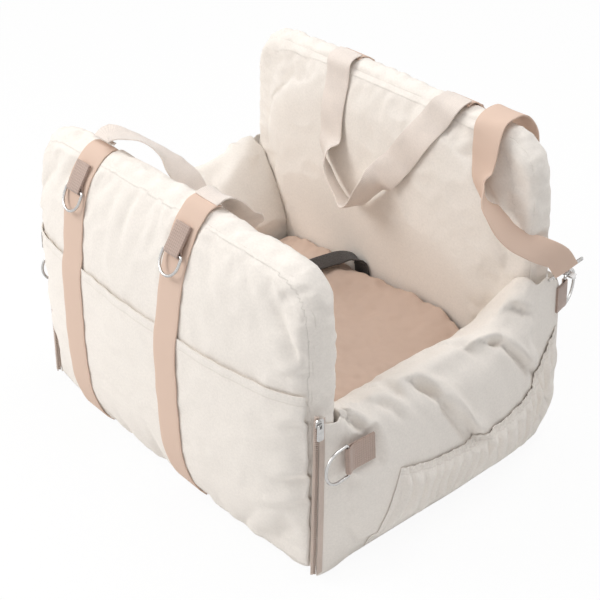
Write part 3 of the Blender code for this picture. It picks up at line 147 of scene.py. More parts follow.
# Metal: each ring's inner width, depth and wire, and the loops of the hooks
SMALL_RING = (0.029, 0.026, 0.0034)
LARGE_RING = (0.037, 0.034, 0.0036)
RINGS = {"front": SMALL_RING, "back": SMALL_RING, "side": LARGE_RING, "rear": LARGE_RING}
LOOP_DEPTH = 0.0125
LOOP_WIRE = 0.0030

# Ring tabs: where they are, their width, their length and the body that they are sewn to
TABS = (("front", 0.025, 0.034, "front_panel"), ("back", 0.025, 0.034, "seat"),
        ("side", 0.034, 0.038, "seat"), ("rear", 0.034, 0.022, "seat"))

# Zips: the tape, the teeth, the cord under them, and for each half its body, the rise of its
# teeth, and how far its teeth and its cord lie before the zip's line
ZIP_TAPE_WIDTH = 0.0075
ZIP_TAPE_THICKNESS = 0.0007
ZIP_PITCH = 0.0026
ZIP_TOOTH = (0.0034, 0.0022, 0.0017)
ZIP_CORD_RADIUS = 0.0008
ZIP_HALVES = (("side", "seat", 0.0, 0.0017, 0.0012),
              ("panel", "front_panel", ZIP_PITCH / 2, 0.0043, 0.0050))

# The non-slip base: how far it stays inside its frame node's edges, its corners and its shift
BASE_INSET_X = 0.018
BASE_INSET_Y = 0.026
BASE_CORNER = 0.030
BASE_SHIFT = 0.010
BASE_THICKNESS = 0.0014

# Rays are cast at the seat from this far off its middle, or off the middle of a wall
CAST_FROM = 0.4
WALL_REACH = 0.3

# The stage
CAMERA_TARGET = (0, 0, 0.135)
CAMERA_SHIFT = (0.00645, 0.01952)
LAMP_TARGET = (0, 0, 0.15)
FLOOR_GLOW = 0.93


class SeatCloth(bpy.types.PropertyGroup):
    """The canvas of the walls and pockets."""
    color: bpy.props.FloatVectorProperty(
        name="Canvas", description="Colour of the canvas", subtype="COLOR",
        default=(0.90, 0.845, 0.785), size=3)
    # The seam shade is painted shade: the canvas darkens each seam's crease with it, and tints the
    # stitches a little with it.
    shade: bpy.props.FloatVectorProperty(
        name="Seam shade", description="Colour in a seam's crease", subtype="COLOR",
        default=(0.52, 0.42, 0.345), size=3)
    thread_pitch: bpy.props.FloatProperty(
        name="Thread pitch", description="Distance between the canvas's threads",
        unit="LENGTH", default=0.0009)
    voxel: bpy.props.FloatProperty(
        name="Cloth grain", description="Size of a cell of the simulated cloth",
        unit="LENGTH", default=0.0065)
    pressure: bpy.props.FloatProperty(
        name="Stuffing pressure", description="How hard the stuffing presses", default=4.0)
    growth: bpy.props.FloatProperty(
        name="Spare cloth", description="How much wider the cloth is than its seams",
        default=0.05)
    pucker: bpy.props.FloatProperty(
        name="Pucker depth", description="Depth of the puckers along the seams",
        unit="LENGTH", default=0.0032)


class SeatWebbing(bpy.types.PropertyGroup):
    """The straps, tabs and the tether."""
    color: bpy.props.FloatVectorProperty(
        name="Webbing", description="Colour of the satin webbing", subtype="COLOR",
        default=(0.50, 0.365, 0.305), size=3)
    # The handles' colour is the webbing's colour with a painted reflection: it is lighter to stand
    # in for the light that their satin reflects.
    handle_color_and_reflection: bpy.props.FloatVectorProperty(
        name="Handles", description="Colour of the handles' satin webbing", subtype="COLOR",
        default=(0.90, 0.80, 0.725), size=3)
    tether_color: bpy.props.FloatVectorProperty(
        name="Tether", description="Colour of the tether", subtype="COLOR",
        default=(0.052, 0.044, 0.040), size=3)
    zip_color: bpy.props.FloatVectorProperty(
        name="Zip", description="Colour of the zips", subtype="COLOR",
        default=(0.74, 0.60, 0.52), size=3)
    rib: bpy.props.FloatProperty(
        name="Rib pitch", description="Distance between the webbing's ribs",
        unit="LENGTH", default=0.0013)


class SeatCushion(bpy.types.PropertyGroup):
    """The plush cushion."""
    color: bpy.props.FloatVectorProperty(
        name="Plush", description="Colour of the plush", subtype="COLOR",
        default=(0.61, 0.425, 0.335), size=3)
    pile: bpy.props.FloatProperty(
        name="Pile", description="Height of the plush's tufts", unit="LENGTH",
        default=0.0016)


class SeatMetal(bpy.types.PropertyGroup):
    """Rings, hooks and sliders."""
    color: bpy.props.FloatVectorProperty(
        name="Metal", description="Colour of the plated hardware", subtype="COLOR",
        default=(0.56, 0.55, 0.54), size=3)
    roughness: bpy.props.FloatProperty(
        name="Polish", description="Roughness of the hardware", default=0.26)


class SeatStage(bpy.types.PropertyGroup):
    """The camera, the lamps and the floor."""
    azimuth: bpy.props.FloatProperty(
        name="Azimuth", description="Where the camera stands round the seat",
        subtype="ANGLE", default=math.radians(52.302))
    elevation: bpy.props.FloatProperty(
        name="Elevation", description="How high the camera looks down from",
        subtype="ANGLE", default=math.radians(33.382))
    roll: bpy.props.FloatProperty(
        name="Roll", description="How far the camera is tilted", subtype="ANGLE",
        default=math.radians(-3.539))
    distance: bpy.props.FloatProperty(
        name="Distance", description="From the camera to the middle of the seat",
        unit="LENGTH", default=1.759)
    lens: bpy.props.FloatProperty(name="Lens", description="Focal length in mm", default=84.9)
    key: bpy.props.FloatProperty(name="Key lamp", description="Power of the key lamp", default=49.0)
    fill: bpy.props.FloatProperty(name="Fill lamp", description="Power of the fill", default=5.0)
    top: bpy.props.FloatProperty(name="Top lamp", description="Power of the top lamp", default=28.0)
    sky: bpy.props.FloatProperty(name="Sky", description="Strength of the sky", default=0.40)


GROUPS = (("seat_cloth", SeatCloth), ("seat_webbing", SeatWebbing), ("seat_cushion", SeatCushion),
          ("seat_metal", SeatMetal), ("seat_stage", SeatStage))


def mix(start, end, share):
    """The value that lies the given share of the way from start to end."""
    return start + (end - start) * share


def clamp(value, low=0.0, high=1.0):
    """The value, held between two limits."""
    return max(low, min(high, value))


def smooth(value):
    """An eased step from 0 to 1."""
    value = clamp(value)
    return value * value * (3 - 2 * value)


def front_seam_y(z):
    """The front panel's outer seam at a height."""
    return FRONT_SEAM + FRONT_LEAN * (z - FLOOR_TOP) / (FRONT_HEIGHT - FLOOR_TOP)


def back_seam_y(z):
    """The backrest's inner seam at a height."""
    return BACK_FOOT + BACK_LEAN * (z - FLOOR_TOP) / (BACK_HEIGHT - FLOOR_TOP)


FRONT_MIDDLE = front_seam_y(FRONT_HEIGHT) + FRONT_GUSSET / 2
BACK_MIDDLE = back_seam_y(BACK_HEIGHT) + BACK_GUSSET / 2


def add_node(tree, kind, **values):
    """A node with some of its settings."""
    node = tree.nodes.new(kind)
    for key, value in values.items():
        setattr(node, key, value)
    return node


def feed(tree, socket, value):
    """Give a socket a value or a link."""
    if isinstance(value, bpy.types.NodeSocket):
        tree.links.new(value, socket)
    elif isinstance(value, (tuple, list)) and len(value) == 3 and socket.type == "RGBA":
        socket.default_value = (*value, 1.0)
    else:
        socket.default_value = value


def calc(tree, operation, *values, clamped=False):
    """A Math node's result."""
    node = add_node(tree, "ShaderNodeMath", operation=operation, use_clamp=clamped)
    for socket, value in zip(node.inputs, values):
        feed(tree, socket, value)
    return node.outputs[0]


def blend_color(tree, share, first, second, kind="MIX"):
    """Two colours mixed by a share."""
    node = add_node(tree, "ShaderNodeMix", data_type="RGBA", blend_type=kind)
    feed(tree, node.inputs["Factor"], share)
    feed(tree, node.inputs[6], first)
    feed(tree, node.inputs[7], second)
    return node.outputs[2]


def tinted(tree, color, tone):
    """A colour, darkened or lightened by a tone."""
    return blend_color(tree, 1.0, color, tone, "MULTIPLY")


def noise_texture(tree, place, scale, detail, **values):
    """A noise texture at a place."""
    node = add_node(tree, "ShaderNodeTexNoise", **values)
    for label, value in (("Vector", place), ("Scale", scale), ("Detail", detail)):
        feed(tree, node.inputs[label], value)
    return node


def new_group(name, inputs, outputs):
    """An empty node group with named sockets, and its two ends."""
    tree = bpy.data.node_groups.new(name, "ShaderNodeTree")
    for label, kind, value in inputs:
        socket = tree.interface.new_socket(label, in_out="INPUT", socket_type=kind)
        if value is not None:
            socket.default_value = value
    for label, kind in outputs:
        tree.interface.new_socket(label, in_out="OUTPUT", socket_type=kind)
    return tree, add_node(tree, "NodeGroupInput"), add_node(tree, "NodeGroupOutput")


def weave_group():
    """Threads that cross: a height and a shade."""
    tree, source, result = new_group(
        "Woven threads",
        [("Vector", "NodeSocketVector", None), ("Pitch", "NodeSocketFloat", 0.001),
         ("Slub", "NodeSocketFloat", 0.3)],
        [("Height", "NodeSocketFloat"), ("Shade", "NodeSocketFloat")])
    scaled = add_node(tree, "ShaderNodeVectorMath", operation="SCALE")
    feed(tree, scaled.inputs[0], source.outputs["Vector"])
    feed(tree, scaled.inputs["Scale"], calc(tree, "DIVIDE", math.pi, source.outputs["Pitch"]))
    parts = add_node(tree, "ShaderNodeSeparateXYZ")
    feed(tree, parts.inputs[0], scaled.outputs[0])
    waves = [calc(tree, "ABSOLUTE", calc(tree, "SINE", part)) for part in parts.outputs]
    total = calc(tree, "ADD", calc(tree, "ADD", waves[0], waves[1]), waves[2])
    slub = noise_texture(tree, source.outputs["Vector"], 420, 3)
    uneven = calc(tree, "MULTIPLY", calc(tree, "SUBTRACT", slub.outputs["Fac"], 0.5),
                  source.outputs["Slub"])
    height = calc(tree, "ADD", calc(tree, "DIVIDE", total, 3.0), uneven)
    feed(tree, result.inputs["Height"], height)
    feed(tree, result.inputs["Shade"], calc(tree, "ADD", 1.0, calc(tree, "MULTIPLY", uneven, 0.5)))
    return tree


def mottle_group():
    """Soft unevenness of tone."""
    tree, source, result = new_group(
        "Soft mottling",
        [("Vector", "NodeSocketVector", None), ("Scale", "NodeSocketFloat", 14.0),
         ("Contrast", "NodeSocketFloat", 0.1)],
        [("Shade", "NodeSocketFloat")])
    cloud = noise_texture(tree, source.outputs["Vector"], source.outputs["Scale"], 4)
    centred = calc(tree, "MULTIPLY", calc(tree, "SUBTRACT", cloud.outputs["Fac"], 0.5),
                   source.outputs["Contrast"])
    feed(tree, result.inputs["Shade"], calc(tree, "ADD", 1.0, centred))
    return tree


def seam_group():
    """A seam's crease and the stitches beside it, from a signed distance and a run."""
    tree, source, result = new_group(
        "Stitched seam",
        [("Distance", "NodeSocketFloat", 1.0), ("Along", "NodeSocketFloat", 0.0),
         ("Crease width", "NodeSocketFloat", 0.0009), ("Stitch place", "NodeSocketFloat", 0.0032),
         ("Stitch length", "NodeSocketFloat", 0.0042)],
        [("Crease", "NodeSocketFloat"), ("Thread", "NodeSocketFloat"),
         ("Height", "NodeSocketFloat")])
    away = calc(tree, "ABSOLUTE", source.outputs["Distance"])
    crease = calc(tree, "SUBTRACT", 1.0, calc(tree, "DIVIDE", away, source.outputs["Crease width"]),
                  clamped=True)
    offset = calc(tree, "ABSOLUTE", calc(tree, "SUBTRACT", source.outputs["Distance"],
                                         source.outputs["Stitch place"]))
    line = calc(tree, "SUBTRACT", 1.0, calc(tree, "DIVIDE", offset, STITCH_HALF_WIDTH),
                clamped=True)
    part = calc(tree, "FRACT", calc(tree, "DIVIDE", source.outputs["Along"],
                                    source.outputs["Stitch length"]))
    dash = calc(tree, "LESS_THAN", part, STITCH_SHARE)
    thread = calc(tree, "MULTIPLY", line, dash)
    hole = calc(tree, "MULTIPLY", line, calc(tree, "SUBTRACT", 1.0, dash))
    feed(tree, result.inputs["Crease"], crease)
    feed(tree, result.inputs["Thread"], thread)
    height = calc(tree, "SUBTRACT", calc(tree, "MULTIPLY", thread, 0.4),
                  calc(tree, "ADD", crease, calc(tree, "MULTIPLY", hole, 0.5)))
    feed(tree, result.inputs["Height"], height)
    return tree


def group_node(tree, group, **values):
    """Place a node group and give its inputs."""
    node = add_node(tree, "ShaderNodeGroup", node_tree=bpy.data.node_groups[group])
    for key, value in values.items():
        feed(tree, node.inputs[key.replace("_", " ")], value)
    return node


def shader_of(name, roughness, metallic=0.0):
    """A new material and its Principled BSDF."""
    material = bpy.data.materials.new(name)
    material.use_nodes = True
    shader = material.node_tree.nodes["Principled BSDF"]
    shader.inputs["Roughness"].default_value = roughness
    shader.inputs["Metallic"].default_value = metallic
    return material, material.node_tree, shader


def bump(tree, shader, height, distance, strength=1.0):
    """Feed a height into a shader's normal."""
    node = add_node(tree, "ShaderNodeBump")
    node.inputs["Distance"].default_value = distance
    node.inputs["Strength"].default_value = strength
    feed(tree, node.inputs["Height"], height)
    feed(tree, shader.inputs["Normal"], node.outputs[0])


def object_coords(tree):
    """The object coordinates' socket."""
    return add_node(tree, "ShaderNodeTexCoord").outputs["Object"]


def seen_directly(tree):
    """1 for what the camera, a mirror or a clear thing shows, 0 for what only lights."""
    path = add_node(tree, "ShaderNodeLightPath")
    seen = calc(tree, "MAXIMUM", path.outputs["Is Camera Ray"], path.outputs["Is Glossy Ray"])
    return calc(tree, "MAXIMUM", seen, path.outputs["Is Transmission Ray"])


def canvas_material(name, seams=()):
    """Cream cotton canvas, with the stitched seams that a piece carries and painted shade in their
    creases.
    """
    cloth = bpy.context.scene.seat_cloth
    material, tree, shader = shader_of(name, 0.88)
    shader.inputs["Sheen Weight"].default_value = 0.12
    shader.inputs["Sheen Roughness"].default_value = 0.5
    shader.inputs["Specular IOR Level"].default_value = 0.3
    place = object_coords(tree)
    weave = group_node(tree, "Woven threads", Vector=place, Pitch=cloth.thread_pitch, Slub=0.35)
    cloud = group_node(tree, "Soft mottling", Vector=place, Scale=9.0, Contrast=0.05)
    fine = group_node(tree, "Soft mottling", Vector=place, Scale=130.0, Contrast=0.03)
    tone = calc(tree, "MULTIPLY", calc(tree, "MULTIPLY", cloud.outputs[0], fine.outputs[0]),
                weave.outputs["Shade"])
    color = tinted(tree, tuple(cloth.color), tone)
    height = calc(tree, "MULTIPLY", weave.outputs["Height"], 0.16)
    creases = noise_texture(tree, place, 9, 1, noise_type="RIDGED_MULTIFRACTAL")
    height = calc(tree, "ADD", height, calc(tree, "MULTIPLY", creases.outputs["Fac"], 0.9))
    for seam in seams:
        distance = add_node(tree, "ShaderNodeAttribute", attribute_name=seam)
        along = add_node(tree, "ShaderNodeAttribute", attribute_name=seam + "_run")
        stitched = group_node(tree, "Stitched seam", Distance=distance.outputs["Fac"],
                              Along=along.outputs["Fac"])
        # Painted shade: each seam's crease is darkened towards the seam shade, and the stitches are
        # tinted a little towards it.
        color = blend_color(tree, calc(tree, "MULTIPLY", stitched.outputs["Crease"], 0.16),
                            color, tuple(cloth.shade))
        color = blend_color(tree, calc(tree, "MULTIPLY", stitched.outputs["Thread"], 0.07),
                            color, tuple(cloth.shade))
        height = calc(tree, "ADD", height,
                      calc(tree, "MULTIPLY", stitched.outputs["Height"], 0.7))
    feed(tree, shader.inputs["Base Color"], color)
    bump(tree, shader, height, 0.0005)
    return material


def webbing_material(name, color, pitch, roughness, sheen=0.3, slub=0.2, depth=0.0004):
    """Ribbed webbing that follows a strap's own UV map, which is in metres."""
    material, tree, shader = shader_of(name, roughness)
    shader.inputs["Sheen Weight"].default_value = sheen
    shader.inputs["Specular IOR Level"].default_value = 0.45
    run = add_node(tree, "ShaderNodeUVMap", uv_map="run").outputs[0]
    weave = group_node(tree, "Woven threads", Vector=run, Pitch=pitch, Slub=slub)
    place = object_coords(tree)
    cloud = group_node(tree, "Soft mottling", Vector=place, Scale=26.0, Contrast=0.34)
    tone = calc(tree, "MULTIPLY", cloud.outputs[0], weave.outputs["Shade"])
    # Painted shade: the colour is darker in the grooves between the webbing's ribs.
    groove_shade = calc(tree, "ADD", 0.80, calc(tree, "MULTIPLY", weave.outputs["Height"], 0.3))
    color = tinted(tree, color, calc(tree, "MULTIPLY", tone, groove_shade))
    feed(tree, shader.inputs["Base Color"], color)
    bump(tree, shader, weave.outputs["Height"], depth)
    return material


def plush_material():
    """Short mocha plush: soft clumps, a fine pile and sheen."""
    cushion = bpy.context.scene.seat_cushion
    material, tree, shader = shader_of("plush", 1.0)
    shader.inputs["Sheen Weight"].default_value = 0.55
    shader.inputs["Sheen Roughness"].default_value = 0.4
    shader.inputs["Sheen Tint"].default_value = (1.0, 0.86, 0.76, 1.0)
    shader.inputs["Specular IOR Level"].default_value = 0.1
    place = object_coords(tree)
    cloud = group_node(tree, "Soft mottling", Vector=place, Scale=10.0, Contrast=0.42)
    clump = group_node(tree, "Soft mottling", Vector=place, Scale=70.0, Contrast=0.85)
    pile = noise_texture(tree, place, 330, 6)
    pile.inputs["Roughness"].default_value = 0.7
    tips = calc(tree, "ADD", 0.30, calc(tree, "MULTIPLY", pile.outputs["Fac"], 1.44))
    tone = calc(tree, "MULTIPLY", calc(tree, "MULTIPLY", cloud.outputs[0], clump.outputs[0]), tips)
    feed(tree, shader.inputs["Base Color"], tinted(tree, tuple(cushion.color), tone))
    height = calc(tree, "ADD", pile.outputs["Fac"], calc(tree, "MULTIPLY", clump.outputs[0], 0.8))
    bump(tree, shader, height, cushion.pile)
    return material


def metal_material():
    """Plated hardware with faint brushing."""
    metal = bpy.context.scene.seat_metal
    material, tree, shader = shader_of("plated metal", metal.roughness, 1.0)
    place = object_coords(tree)
    smudge = group_node(tree, "Soft mottling", Vector=place, Scale=260.0, Contrast=0.35)
    color = tinted(tree, tuple(metal.color), smudge.outputs[0])
    feed(tree, shader.inputs["Base Color"], color)
    feed(tree, shader.inputs["Roughness"],
         calc(tree, "MULTIPLY", smudge.outputs[0], metal.roughness))
    bump(tree, shader, smudge.outputs[0], 0.00005)
    return material


def dull_material(name, color, roughness, dots=0.0):
    """A plain cloth, foam or board that is hardly seen, with optional raised dots."""
    material, tree, shader = shader_of(name, roughness)
    place = object_coords(tree)
    grain = group_node(tree, "Soft mottling", Vector=place, Scale=240.0, Contrast=0.4)
    tone = grain.outputs[0]
    height = grain.outputs[0]
    if dots:
        cells = add_node(tree, "ShaderNodeTexVoronoi", feature="F1")
        cells.inputs["Randomness"].default_value = 0.0
        cells.inputs["Scale"].default_value = 1 / dots
        feed(tree, cells.inputs["Vector"], place)
        spot = calc(tree, "SUBTRACT", 1.0, calc(tree, "MULTIPLY", cells.outputs["Distance"], 3.0),
                    clamped=True)
        height = calc(tree, "ADD", height, calc(tree, "MULTIPLY", spot, 4.0))
        tone = calc(tree, "ADD", tone, calc(tree, "MULTIPLY", spot, 0.5))
    feed(tree, shader.inputs["Base Color"], tinted(tree, color, tone))
    bump(tree, shader, height, 0.0004)
    return material


def finish_of(name):
    """A shared material, made the first time that it is needed."""
    found = bpy.data.materials.get(name)
    if found:
        return found
    if name == "plush":
        return plush_material()
    if name == "plated metal":
        return metal_material()
    webbing = bpy.context.scene.seat_webbing
    color, pitch, roughness, others = {
        "webbing": (webbing.color, webbing.rib, 0.42, {}),
        "handle webbing with painted reflection": (webbing.handle_color_and_reflection, webbing.rib, 0.40, {}),
        "tab webbing": (webbing.color, 0.0030, 0.5, {"depth": 0.0009}),
        "tether webbing": (webbing.tether_color, 0.0022, 0.8,
                           {"sheen": 0.2, "slub": 0.9, "depth": 0.0010}),
        "zip tape": (webbing.zip_color, 0.0008, 0.7, {}),
    }[name]
    return webbing_material(name, tuple(color), pitch, roughness, **others)


def node_tree(name):
    """A search tree of a frame node's surface."""
    mesh = FRAME["nodes"][name].data
    return BVHTree.FromPolygons([vertex.co.copy() for vertex in mesh.vertices],
                                [tuple(face.vertices) for face in mesh.polygons])


def piece_tree(*names):
    """A search tree of finished pieces' surfaces together."""
    points, faces = [], []
    graph = bpy.context.evaluated_depsgraph_get()
    for name in names:
        mesh = bpy.data.objects[name].evaluated_get(graph).data
        start = len(points)
        points += [vertex.co.copy() for vertex in mesh.vertices]
        faces += [tuple(index + start for index in face.vertices) for face in mesh.polygons]
    return BVHTree.FromPolygons(points, faces)


def cast(tree, start, direction):
    """Where a ray first meets a surface."""
    return tree.ray_cast(Vector(start), Vector(direction).normalized())[0]


def make_piece(name, bm, material, recalc=True):
    """A bmesh as a new smooth piece."""
    if recalc:
        bmesh.ops.recalc_face_normals(bm, faces=bm.faces)
    mesh = bpy.data.meshes.new(name)
    bm.to_mesh(mesh)
    bm.free()
    mesh.shade_smooth()
    piece = bpy.data.objects.new(name, mesh)
    bpy.context.scene.collection.objects.link(piece)
    mesh.materials.append(material)
    return piece


def settle(piece, body, slot, *nodes):
    """Hang a piece on its body and hide the nodes that it stands for; the slot, its finish's name,
    is not used.
    """
    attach(piece, body)
    if nodes:
        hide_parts(*nodes)
    return piece


def bake_modifiers(piece):
    """Apply all of a piece's modifiers."""
    bpy.context.view_layer.update()
    graph = bpy.context.evaluated_depsgraph_get()
    mesh = bpy.data.meshes.new_from_object(piece.evaluated_get(graph))
    old = piece.data
    piece.modifiers.clear()
    piece.data = mesh
    bpy.data.meshes.remove(old)
    mesh.shade_smooth()


def positions(mesh):
    """A mesh's points as an array."""
    flat = np.empty(len(mesh.vertices) * 3)
    mesh.vertices.foreach_get("co", flat)
    return flat.reshape(-1, 3)


def move_points(mesh, points):
    """Put a mesh's points somewhere else."""
    mesh.vertices.foreach_set("co", np.asarray(points).ravel())
    mesh.update()


def normals(mesh):
    """The normals at a mesh's points."""
    flat = np.empty(len(mesh.vertices) * 3)
    mesh.vertex_normals.foreach_get("vector", flat)
    return flat.reshape(-1, 3)


def node_form(name, node, material, voxel):
    """A frame node's closed form, merged, smoothed and made of even cells."""
    bm = bmesh.new()
    bm.from_mesh(FRAME["nodes"][node].data)
    bmesh.ops.remove_doubles(bm, verts=bm.verts, dist=0.00001)
    for face in bm.faces:
        face.material_index = 0
    piece = make_piece(name, bm, material, recalc=False)
    rounded = piece.modifiers.new("rounded", "SUBSURF")
    rounded.levels = 1
    rounded.render_levels = 1
    cells = piece.modifiers.new("cells", "REMESH")
    cells.mode = "VOXEL"
    cells.voxel_size = voxel
    bake_modifiers(piece)
    return piece


def inflate(piece, pinned, cap, pressure, growth, frames=20, bending=0.4):
    """Simulate the cloth of a closed form: stuffing presses, seams hold, spare cloth folds."""
    mesh = piece.data
    start = positions(mesh)
    group = piece.vertex_groups.new(name="seams")
    group.add([int(index) for index in np.nonzero(pinned)[0]], 1.0, "REPLACE")
    cloth = piece.modifiers.new("cloth", "CLOTH")
    settings = cloth.settings
    settings.quality = 5
    settings.mass = 0.25
    settings.tension_stiffness = CLOTH_STIFFNESS
    settings.compression_stiffness = CLOTH_STIFFNESS
    settings.shear_stiffness = CLOTH_STIFFNESS / 3
    settings.bending_stiffness = bending
    settings.use_pressure = True
    settings.uniform_pressure_force = pressure
    settings.shrink_min = -growth
    settings.vertex_group_mass = "seams"
    settings.effector_weights.gravity = 0
    cloth.collision_settings.use_collision = False
    scene = bpy.context.scene
    cloth.point_cache.frame_start = 1
    cloth.point_cache.frame_end = frames
    for frame in range(1, frames + 1):
        scene.frame_set(frame)
    graph = bpy.context.evaluated_depsgraph_get()
    ended = positions(piece.evaluated_get(graph).data)
    piece.modifiers.clear()
    piece.vertex_groups.clear()
    scene.frame_set(1)
    delta = ended - start
    length = np.maximum(np.linalg.norm(delta, axis=1), 1e-9)
    held = cap * np.tanh(length / cap)
    move_points(mesh, start + delta * (held / length)[:, None])


def subdivide_once(piece):
    """One level of smooth subdivision, applied."""
    step = piece.modifiers.new("smooth", "SUBSURF")
    step.levels = 1
    step.render_levels = 1
    bake_modifiers(piece)


def run_lengths(line):
    """How far along a line each of its points lies."""
    lengths = [0.0]
    for first, second in zip(line, line[1:]):
        lengths.append(lengths[-1] + (second - first).length)
    return lengths


def even_line(points, step, closed=False):
    """Points at even steps along a polyline."""
    line = [Vector(point) for point in points]
    if closed:
        line.append(line[0])
    lengths = run_lengths(line)
    count = max(2, round(lengths[-1] / step))
    result = []
    index = 0
    for number in range(count + (0 if closed else 1)):
        run = lengths[-1] * number / count
        while index < len(line) - 2 and lengths[index + 1] < run:
            index += 1
        part = (run - lengths[index]) / max(1e-9, lengths[index + 1] - lengths[index])
        result.append(line[index].lerp(line[index + 1], clamp(part)))
    return result


def relaxed(line, passes):
    """A line with its inner points drawn towards their neighbours."""
    for _ in range(passes):
        inner = [(a + b * 2 + c) / 4 for a, b, c in zip(line, line[1:], line[2:])]
        line = [line[0], *inner, line[-1]]
    return line


def mark_seam(mesh, label, line, sign_of):
    """Store the signed distance to a seam and the run along it, and press the seam in."""
    dense = even_line(line, SEAM_STEP)
    finder = KDTree(len(dense))
    for index, point in enumerate(dense):
        finder.insert(point, index)
    finder.balance()
    points = positions(mesh)
    outwards = normals(mesh)
    distances = np.empty(len(points))
    runs = np.empty(len(points))
    for index, point in enumerate(points):
        place = Vector(point)
        _, nearest, distance = finder.find(place)
        before = dense[max(0, nearest - 1)]
        after = dense[min(len(dense) - 1, nearest + 1)]
        run = (after - before).normalized()
        along = (place - dense[nearest]).dot(run)
        away = math.sqrt(max(0.0, distance * distance - along * along))
        distances[index] = away * sign_of(place)
        runs[index] = nearest * SEAM_STEP + along
    for name, values in ((label, distances), (label + "_run", runs)):
        layer = mesh.attributes.new(name, "FLOAT", "POINT")
        layer.data.foreach_set("value", values)
    press = SEAM_DEPTH * np.exp(-(distances / SEAM_WIDTH) ** 2)
    move_points(mesh, points - outwards * press[:, None])
    return distances, runs


def pucker(mesh, distances, runs, depth, seed):
    """Gathers that start at a seam and run out across the cloth."""
    points = positions(mesh)
    outwards = normals(mesh)
    for index, (distance, run) in enumerate(zip(distances, runs)):
        away = abs(distance)
        if away > PUCKER_REACH * 3:
            continue
        wide = noise.noise(Vector((run / (PUCKER_PITCH * 3.1), away / (PUCKER_REACH * 2),
                                   seed + 7.7)))
        crest = noise.noise(Vector((run / PUCKER_PITCH + wide * 0.8, away / (PUCKER_REACH * 1.6),
                                    seed)))
        ridge = 1 - 2.6 * abs(crest)
        fade = math.exp(-(away / PUCKER_REACH) ** 1.4) * smooth(away / 0.012)
        points[index] += outwards[index] * depth * ridge * fade * (0.55 + wide)
    move_points(mesh, points)


def rumple(mesh, amount, scale, seed, sharp=False):
    """Broad unevenness of a stuffed surface."""
    points = positions(mesh)
    outwards = normals(mesh)
    # In single precision, as the noise itself is
    factor = (Vector((1, 1, 1)) / scale).x
    for index, (x, y, z) in enumerate(points):
        value = noise.noise(Vector((x * factor, y * factor, z * factor + seed)))
        if sharp:
            value = 0.5 - abs(value) * 2
        points[index] += outwards[index] * amount * value
    move_points(mesh, points)


def thicken(sheet, thickness, offset):
    """Give a sheet its thickness."""
    wall = sheet.modifiers.new("thickness", "SOLIDIFY")
    wall.thickness = thickness
    wall.offset = offset
    bake_modifiers(sheet)


def strip(name, centres, acrosses, width, thickness, material, columns=6, cup=0.0, taper=None):
    """Flat webbing along a route, with a UV map in metres and soft edges."""
    count = len(centres)
    shares = taper or [1.0] * count
    lengths = run_lengths(centres)
    bm = bmesh.new()
    bmesh.ops.create_grid(bm, x_segments=columns, y_segments=count - 1, size=1)
    layer = bm.loops.layers.uv.new("run")
    keys = {}
    for vertex in bm.verts:
        row = round((vertex.co.y + 1) / 2 * (count - 1))
        side = vertex.co.x
        keys[vertex] = ((side + 1) / 2 * width, lengths[row])
        before = centres[max(0, row - 1)]
        after = centres[min(count - 1, row + 1)]
        out = acrosses[row].cross(after - before).normalized()
        half = width / 2 * shares[row]
        vertex.co = centres[row] + acrosses[row] * (side * half) + out * (cup * side * side)
    for face in bm.faces:
        for loop in face.loops:
            loop[layer].uv = keys[loop.vert]
    piece = make_piece(name, bm, material)
    wall = piece.modifiers.new("thickness", "SOLIDIFY")
    wall.thickness = thickness
    wall.offset = 0
    wall.use_even_offset = True
    edge = piece.modifiers.new("edge", "BEVEL")
    edge.width = thickness * 0.3
    edge.segments = 2
    edge.limit_method = "ANGLE"
    edge.angle_limit = math.radians(50)
    bake_modifiers(piece)
    return piece


def square_off(centres, acrosses):
    """Turn each across vector square to the strap's own run."""
    turned = []
    for index, across in enumerate(acrosses):
        before = centres[max(0, index - 1)]
        after = centres[min(len(centres) - 1, index + 1)]
        run = (after - before).normalized()
        turned.append((across - run * across.dot(run)).normalized())
    return turned


def smooth_route(centres, acrosses, step, passes):
    """A strap's route and its across vectors, made smooth and even."""
    line, widths = [], []
    for index, (first, second) in enumerate(zip(centres, centres[1:])):
        before = centres[max(0, index - 1)]
        after = centres[min(len(centres) - 1, index + 2)]
        parts = max(2, round((second - first).length / step))
        for part in range(parts):
            t = part / parts
            line.append(0.5 * ((2 * first) + (second - before) * t
                               + (2 * before - 5 * first + 4 * second - after) * t * t
                               + (3 * first - before - 3 * second + after) * t ** 3))
            widths.append(acrosses[index].lerp(acrosses[index + 1], smooth(t)).normalized())
    line.append(Vector(centres[-1]))
    widths.append(Vector(acrosses[-1]))
    line = relaxed(line, passes)
    return line, square_off(line, widths)


def half_turn(x, y, radius):
    """Points of the half circle round a bar, from below it to above it."""
    angles = [math.radians(-90 + 180 * step / 8) for step in range(9)]
    return [(x + radius * math.cos(angle), y + radius * math.sin(angle)) for angle in angles]


def tube(name, points, radius, material, cyclic=False, resolution=5):
    """A round wire along points, as a curve in its place."""
    curve = bpy.data.curves.new(name, "CURVE")
    curve.dimensions = "3D"
    curve.bevel_depth = radius
    curve.bevel_resolution = resolution
    curve.use_fill_caps = True
    spline = curve.splines.new("POLY")
    spline.points.add(len(points) - 1)
    for target, point in zip(spline.points, points):
        target.co = (*point, 1)
    spline.use_cyclic_u = cyclic
    spline.use_smooth = True
    curve.materials.append(material)
    item = bpy.data.objects.new(name, curve)
    bpy.context.scene.collection.objects.link(item)
    return item


